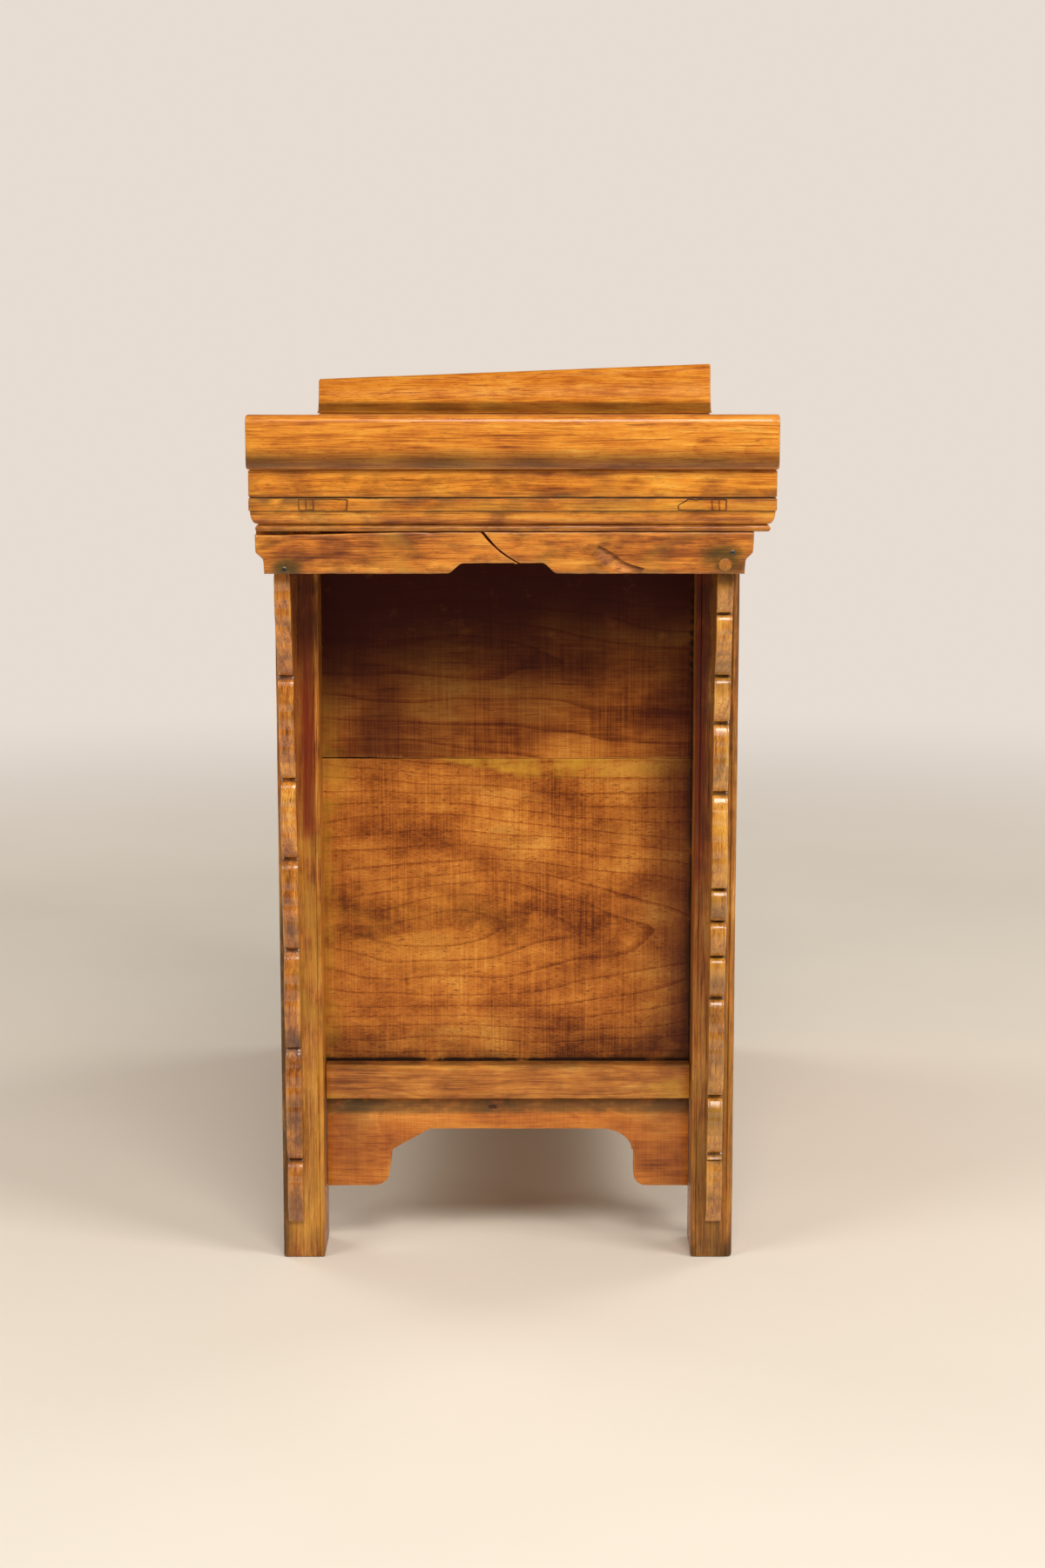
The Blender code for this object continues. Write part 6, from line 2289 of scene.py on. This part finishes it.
@dataclass
class Drawer:
    """A drawer with its front, plain box, and a brass plate that carries a bail on two posts."""

    side: Side
    wear: Wear = Wear(arris=1.6 * MM, nick=1.0 * MM, wave=0.3 * MM, end=1.4 * MM)
    plate: Plate = Plate()
    post: float = 4.5 * MM
    post_spread: float = 32 * MM
    post_turning: tuple[Point2, ...] = (
        (1.45, 0.0),
        (1.4, 0.08),
        (0.95, 0.16),
        (0.8, 0.3),
        (1.0, 0.5),
        (1.0, 0.82),
        (0.7, 0.96),
        (0.15, 1.0),
    )
    pin_turning: tuple[Point2, ...] = ((1.9, 0.0), (1.8, -0.5), (1.2, -0.9), (0.2, -1.05))
    pin_spread: float = 0.455
    wire: float = 2.0 * MM
    swell: float = 0.7 * MM
    pin: float = 5.0 * MM
    corner: float = 5.0 * MM
    corner_steps: int = 4
    bow_steps: int = 12

    def build(self) -> None:
        """Builds the front and the pull, and dresses the box and the bottom."""
        self.front()
        self.pull()
        dress_solid(f"drawer_{self.side}_box", BARE_ELM, Axis.Y)
        dress_solid(f"drawer_{self.side}_bottom", BARE_ELM, Axis.X)

    def front(self) -> None:
        """Builds the drawer's front."""
        name = f"drawer_{self.side}_front"
        low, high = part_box(name)
        middle = (low + high) / 2

        def patina(point: Vector) -> Marks:
            """Grime round the pull and along the edges, and bare patches."""
            away = Vector((point.x - middle.x, 1.6 * (point.z - middle.z))).length
            rim = ease(min(point.z - low.z, high.z - point.z), 9 * MM, 1 * MM)
            return 0.4 * ease(away, 0.09, 0.045) + 0.35 * rim, 0.2 * patch(point, 0.06, 2.0), 0.0, 0.0

        shape = bar(name, Axis.X, self.wear, 0.008)
        make_board(shape, "planed", name, FACE_ELM, Axis.X, Slot.PANEL, patina, f"{self.side}_drawer")

    def pull(self) -> None:
        """Builds the plate with its posts, and the bail."""
        name = f"drawer_{self.side}_plate"
        low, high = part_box(name)
        middle = (low + high) / 2
        edge = search_tree(softened(outline_of(name, Axis.Y, True)))

        def rim(a: float, b: float) -> float:
            """How deep the plate's front lies inside its raised rim."""
            return 0.35 * MM * ease(distance(edge, a, b), 2.0 * MM, 3.2 * MM)

        shape, front = self.plate.build(name, 1.6 * MM, rim)
        bail_low, bail_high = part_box(f"drawer_{self.side}_bail")
        axis_z = bail_high.z - self.wire
        reach = front - low.y
        profile = [(self.post * radius, -reach * share) for radius, share in self.post_turning]
        for sign in (-1, 1):
            turned(shape, profile, Axis.Y, Vector((middle.x + sign * self.post_spread, front, axis_z)))
        for sign in (-1, 1):
            across = middle.x + sign * (high.x - low.x) * self.pin_spread
            self.plate.pin(shape, self.pin_turning, Vector((across, front + 0.3 * MM, middle.z)))
        make_piece(shape, f"lobed_{name}", BRASS.material(name), Slot.BRASS, f"{self.side}_drawer", [name])
        self.bail((middle.x, (bail_low.y + bail_high.y) / 2, axis_z))

    def bail(self, pivot: Place) -> None:
        """Builds the bail: wire that swells towards its middle, turned in to the posts.

        Args:
            pivot: the middle of the axis that it swings on.
        """
        name = f"drawer_{self.side}_bail"
        x, y, top = pivot
        low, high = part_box(name)
        half = (high.x - low.x) / 2 - self.wire
        drop = top - low.z - self.wire
        right = [(self.post_spread - self.pin, 0.0)]
        for step in range(self.corner_steps + 1):
            angle = math.radians(90 - 90 * step / self.corner_steps)
            right.append((half + self.corner * (math.cos(angle) - 1), self.corner * (math.sin(angle) - 1)))
        for step in range(1, self.bow_steps + 1):
            angle = math.radians(90 * step / self.bow_steps)
            right.append((half * math.cos(angle), -self.corner - (drop - self.corner) * math.sin(angle)))
        line = right + [(-a, b) for a, b in reversed(right[:-1])]
        last = len(line) - 1
        radii = [self.wire + self.swell * math.sin(math.pi * index / last) ** 6 for index in range(len(line))]
        shape = Shape()
        tube(shape, [Vector((x + a, y, top + b)) for a, b in line], radii)
        make_piece(shape, f"wire_{name}", BRASS.material(name), Slot.BRASS, f"{self.side}_bail", [name])


@dataclass
class Door:
    """A framed door on wooden pivots, with a fielded panel, half a round plate and a drop pull."""

    side: Side
    wear: Wear = Wear(arris=1.3 * MM, nick=1.0 * MM, wave=0.3 * MM, end=1.0 * MM)
    panel_wear: Wear = Wear(arris=0.6 * MM, nick=0.2 * MM, wave=0.3 * MM, end=0.5 * MM)
    plate_kind: Plate = Plate()
    field: float = 26 * MM
    field_depth: float = 2.2 * MM
    field_step: float = 0.5 * MM
    pivot: float = 5.6 * MM
    pivot_lap: float = 2 * MM
    pivot_turning: tuple[Point2, ...] = ((0.6, 0.0), (0.95, 0.12), (1.0, 0.3), (1.0, 0.8), (0.7, 1.0))
    pins: tuple[int, ...] = (-60, -20, 20, 60)
    pin_inset: float = 5.5 * MM
    pin_turning: tuple[Point2, ...] = ((1.7, 0.5), (1.7, -0.3), (1.1, -0.8), (0.2, -1.0))
    staple: float = 4.5 * MM
    ring: float = 5.0 * MM
    wire: float = 1.5 * MM
    round_steps: int = 24
    wire_steps: int = 10

    def build(self) -> None:
        """Builds the frame, the panel and the brass."""
        self.stiles()
        self.rails()
        self.panel()
        self.plate()
        self.drop()

    def wooden(self, shape: Shape, name: str, grain: Axis) -> None:
        """Makes a stile or a rail from its mesh."""
        make_board(shape, "planed", name, CARCASE_ELM, grain, Slot.CARCASE, handled, f"{self.side}_door")

    def stiles(self) -> None:
        """Builds the stiles, the outer one with its pivots."""
        meeting = f"door_{self.side}_meeting_stile"
        foot, head = (corner.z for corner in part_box(meeting))
        name = f"door_{self.side}_hinge_stile"
        low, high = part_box(name)
        section = [(a, b, 0.6 * MM) for a, b in outline_at(name, Axis.Z, (foot + head) / 2)]
        shape = Shape()
        swept(shape, section, Axis.Z, (foot, head), self.wear, seed_of(name), 0.010)
        centre = frame_axis(f"{self.side}_door_hinge")
        for first, last in ((low.z, foot + self.pivot_lap), (head - self.pivot_lap, high.z)):
            profile = [(self.pivot * radius, (last - first) * share) for radius, share in self.pivot_turning]
            turned(shape, profile, Axis.Z, Vector((centre.x, centre.y, first)))
        self.wooden(shape, name, Axis.Z)
        self.wooden(bar(meeting, Axis.Z, self.wear, 0.010), meeting, Axis.Z)

    def rails(self) -> None:
        """Builds the rails between the stiles."""
        first, second = (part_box(f"door_{self.side}_{kind}_stile") for kind in ("hinge", "meeting"))
        ends = (min(first[1].x, second[1].x) + FIT, max(first[0].x, second[0].x) - FIT)
        for kind in ("top", "bottom"):
            name = f"door_{self.side}_{kind}_rail"
            self.wooden(bar(name, Axis.X, self.wear, 0.010, ends), name, Axis.X)

    def panel(self) -> None:
        """Builds the panel, fielded round its edge."""
        name = f"door_{self.side}_panel"
        low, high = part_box(name)

        def inward(a: float, b: float) -> float:
            """How far a place of the panel lies from its edge."""
            return min(a - low.x, high.x - a, b - low.z, high.z - b)

        def fielded(a: float, b: float) -> float:
            """How deep the panel's front is cut."""
            away = inward(a, b)
            slope = self.field_depth * (1 - min(1.0, away / self.field))
            return slope + self.field_step * ease(away, self.field, self.field - 1 * MM)

        def patina(point: Vector) -> Marks:
            """Dirt along the frame, and bare patches."""
            dirt = ease(inward(point.x, point.z), 18 * MM, 6 * MM)
            return 0.55 * dirt, 0.25 * patch(point, 0.08, 4.0), 0.0, 0.0

        outline = [(low.x, low.z), (high.x, low.z), (high.x, high.z), (low.x, high.z)]
        faces = (low.y, high.y)
        shape = Shape()
        sawn(shape, outline, Axis.Y, faces, self.panel_wear, seed_of(name), 0.006, (fielded, uncut), 2)
        make_board(shape, "fielded", name, FACE_ELM, Axis.Z, Slot.PANEL, patina, f"{self.side}_door")

    def plate(self) -> None:
        """Builds half of the round plate, with a raised rim, pins and the staple."""
        name = f"door_{self.side}_plate"
        low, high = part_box(name)
        middle = Vector((self.side.sign * min(abs(low.x), abs(high.x)), 0.0, (low.z + high.z) / 2))
        radius = (high.z - low.z) / 2

        def rim(a: float, b: float) -> float:
            """How deep the plate's front lies inside its raised rim and ring."""
            away = radius - math.hypot(a - middle.x, b - middle.z)
            ring = band(away, 9 * MM, 10 * MM, 1.2 * MM)
            return 0.4 * MM * ease(away, 2.2 * MM, 3.4 * MM) * (1 - 0.8 * ring)

        shape, front = self.plate_kind.build(name, 1.8 * MM, rim)
        for angle in self.pins:
            way = math.radians(angle)
            out = Vector((self.side.sign * math.cos(way), 0.0, math.sin(way)))
            spot = middle + (radius - self.pin_inset) * out
            self.plate_kind.pin(shape, self.pin_turning, Vector((spot.x, front, spot.z)))
        self.eyelet(shape, frame_axis(f"{self.side}_drop_swing"), Axis.X, self.staple)
        make_piece(shape, f"round_{name}", BRASS.material(name), Slot.BRASS, f"{self.side}_door", [name])

    def eyelet(self, shape: Shape, centre: Vector, axis: Axis, radius: float) -> None:
        """Bends a ring of wire round an axis through a centre."""
        path = circle(centre, axis, radius, self.round_steps)
        tube(shape, path, [self.wire] * self.round_steps, self.wire_steps, True)

    def drop(self) -> None:
        """Builds the drop pull: a ring and a leaf with a soft ridge."""
        name = f"door_{self.side}_drop"
        low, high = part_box(name)
        middle = (low + high) / 2
        half = (high.x - low.x) / 2
        centre = Vector((middle.x, middle.y, high.z - self.wire - self.ring))
        outline = outline_at(name, Axis.Y, middle.y)
        outline = softened(clipped(outline, (0.0, centre.z - self.ring), (0.0, -1.0)))

        def ridge(a: float, b: float) -> float:
            """How far the leaf's faces fall from its ridge."""
            return 0.2 * MM + 0.6 * MM * min(1.0, abs(a - middle.x) / half)

        faces, wear = (low.y, high.y), self.plate_kind.wear
        shape = Shape()
        sawn(shape, outline, Axis.Y, faces, wear, seed_of(name), 1.6 * MM, (ridge, ridge), 1)
        self.eyelet(shape, centre, Axis.Y, self.ring)
        make_piece(shape, f"leaf_{name}", BRASS.material(name), Slot.BRASS, f"{self.side}_drop", [name])


@dataclass(frozen=True)
class Lamp:
    """A square softbox: its place, what it points at, its power in watts and its size in metres."""

    name: str
    place: Place
    target: Place
    power: float
    size: float
    colour: str = "#fffaf3"

    def build(self) -> None:
        """Hangs the lamp."""
        data = bpy.data.lights.new(self.name, "AREA")
        data.energy = self.power
        data.shape = "SQUARE"
        data.size = self.size
        data.color = linear(self.colour)[:3]
        lamp = bpy.data.objects.new(self.name, data)
        lamp.location = self.place
        lamp.rotation_euler = (Vector(self.target) - Vector(self.place)).to_track_quat("-Z", "Y").to_euler()
        bpy.context.scene.collection.objects.link(lamp)


@dataclass
class Studio:
    """A pale floor, soft lamps all round, and the camera at the photograph's place."""

    eye: Place = (-3.5345, -0.007, 1.047)
    pitch: float = 9.87
    yaw: float = -0.05
    lens: float = 70.0
    wall: str = "#e7dcd2"
    light: str = "#f4eee6"
    floor: str = "#e9e2d6"
    floor_shade: str = "#e3dbce"
    floor_size: float = 9.0
    floor_parts: int = 24
    fade_from: float = 1.5
    fade_to: float = 3.6
    softboxes: tuple[Lamp, ...] = (
        Lamp("key", (-2.2, -2.6, 3.0), (0.6, 0.2, 0.9), 72.0, 1.4),
        Lamp("fill", (-2.4, 2.3, 2.8), (0.6, -0.2, 0.9), 38.0, 1.4),
        Lamp("glint right", (-1.5, -2.4, 0.9), (-0.5, 0.0, 0.8), 4.0, 0.25),
        Lamp("glint left", (-1.5, 2.4, 0.9), (-0.5, 0.0, 0.8), 4.0, 0.25),
        Lamp("over", (-2.7, -0.35, 3.0), (0.3, 0.0, 1.0), 54.0, 1.2),
        Lamp("front", (1.6, -2.8, 2.6), (0.2, 0.0, 0.45), 34.0, 1.6),
        Lamp("rear", (1.8, 2.6, 2.6), (0.2, 0.0, 0.45), 30.0, 1.6),
    )

    def build(self) -> None:
        """Sets the stage."""
        self.ground()
        self.world()
        for softbox in self.softboxes:
            softbox.build()
        self.camera()
        bpy.context.scene.view_settings.view_transform = "Standard"

    def ground(self) -> None:
        """Lays a matt floor that fades out far from the cabinet."""
        count = self.floor_parts
        steps = [(step / count - 0.5) * self.floor_size for step in range(count + 1)]
        faces = []
        for row in range(count):
            for column in range(count):
                first = row * (count + 1) + column
                faces.append((first, first + 1, first + count + 2, first + count + 1))
        mesh = bpy.data.meshes.new("floor")
        mesh.from_pydata([(x, y, 0.0) for y in steps for x in steps], [], faces)
        mesh.materials.append(self.floor_paint())
        floor = bpy.data.objects.new("floor", mesh)
        bpy.context.scene.collection.objects.link(floor)

    def floor_paint(self) -> bpy.types.Material:
        """Makes the floor's matt paint.

        Returns:
            The material.
        """
        material = bpy.data.materials.new("matt_painted_floor")
        add = adder(material)
        place = add("TexCoord").outputs["Object"]
        cloud = add("TexNoise", {"Scale": 3.0, "Detail": 3.0}, {"Vector": place})
        colours = {"data_type": "RGBA", 6: linear(self.floor_shade), 7: linear(self.floor)}
        colour = add("Mix", colours, {0: cloud.outputs["Fac"]})
        paint = add("BsdfPrincipled", {"Roughness": 0.7}, {"Base Color": colour.outputs[2]})
        away = add("VectorMath", {"operation": "LENGTH"}, {0: place})
        limits = {"interpolation_type": "SMOOTHSTEP", "From Min": self.fade_from, "From Max": self.fade_to}
        gone = add("MapRange", limits, {"Value": away.outputs["Value"]})
        clear = add("BsdfTransparent")
        faded = add("MixShader", {}, {0: gone.outputs[0], 1: paint.outputs[0], 2: clear.outputs[0]})
        add("OutputMaterial", {}, {"Surface": faded.outputs[0]})
        return material

    def world(self) -> None:
        """Gives a dim even light, and a pale backdrop to what looks at it."""
        world = bpy.data.worlds.new("studio")
        bpy.context.scene.world = world
        add = adder(world)
        ray = add("LightPath").outputs
        rays = {0: ray["Is Glossy Ray"], 1: ray["Is Transmission Ray"]}
        mirrored = add("Math", {"operation": "MAXIMUM"}, rays)
        light, gloss, wall = (
            add("Background", {"Color": linear(colour), "Strength": strength}).outputs[0]
            for colour, strength in ((self.light, 0.30), (self.wall, 0.18), (self.wall, 1.0))
        )
        shown = add("MixShader", {}, {0: mirrored.outputs[0], 1: light, 2: gloss})
        shown = add("MixShader", {}, {0: ray["Is Camera Ray"], 1: shown.outputs[0], 2: wall})
        add("OutputWorld", {}, {"Surface": shown.outputs[0]})

    def camera(self) -> None:
        """Sets the camera at the photograph's place and angle."""
        data = bpy.data.cameras.new("camera")
        data.lens = self.lens
        camera = bpy.data.objects.new("camera", data)
        camera.location = self.eye
        camera.rotation_euler = (math.radians(90 - self.pitch), 0.0, math.radians(-90 + self.yaw))
        bpy.context.scene.collection.objects.link(camera)
        bpy.context.scene.camera = camera


def main() -> None:
    """Builds the stage and each sub-assembly in order."""
    logging.basicConfig(level=logging.INFO, format="%(message)s")
    for assembly in (
        Studio(),
        EvertedTop(),
        TopFrame(),
        Friezes(),
        LegFrames(),
        *(EndPanel(side) for side in Side),
        FrontAndBack(),
        *(Drawer(side) for side in Side),
        *(Door(side) for side in Side),
    ):
        assembly.build()
        LOG.info("%s done", type(assembly).__name__)


if __name__ == "__main__":
    main()
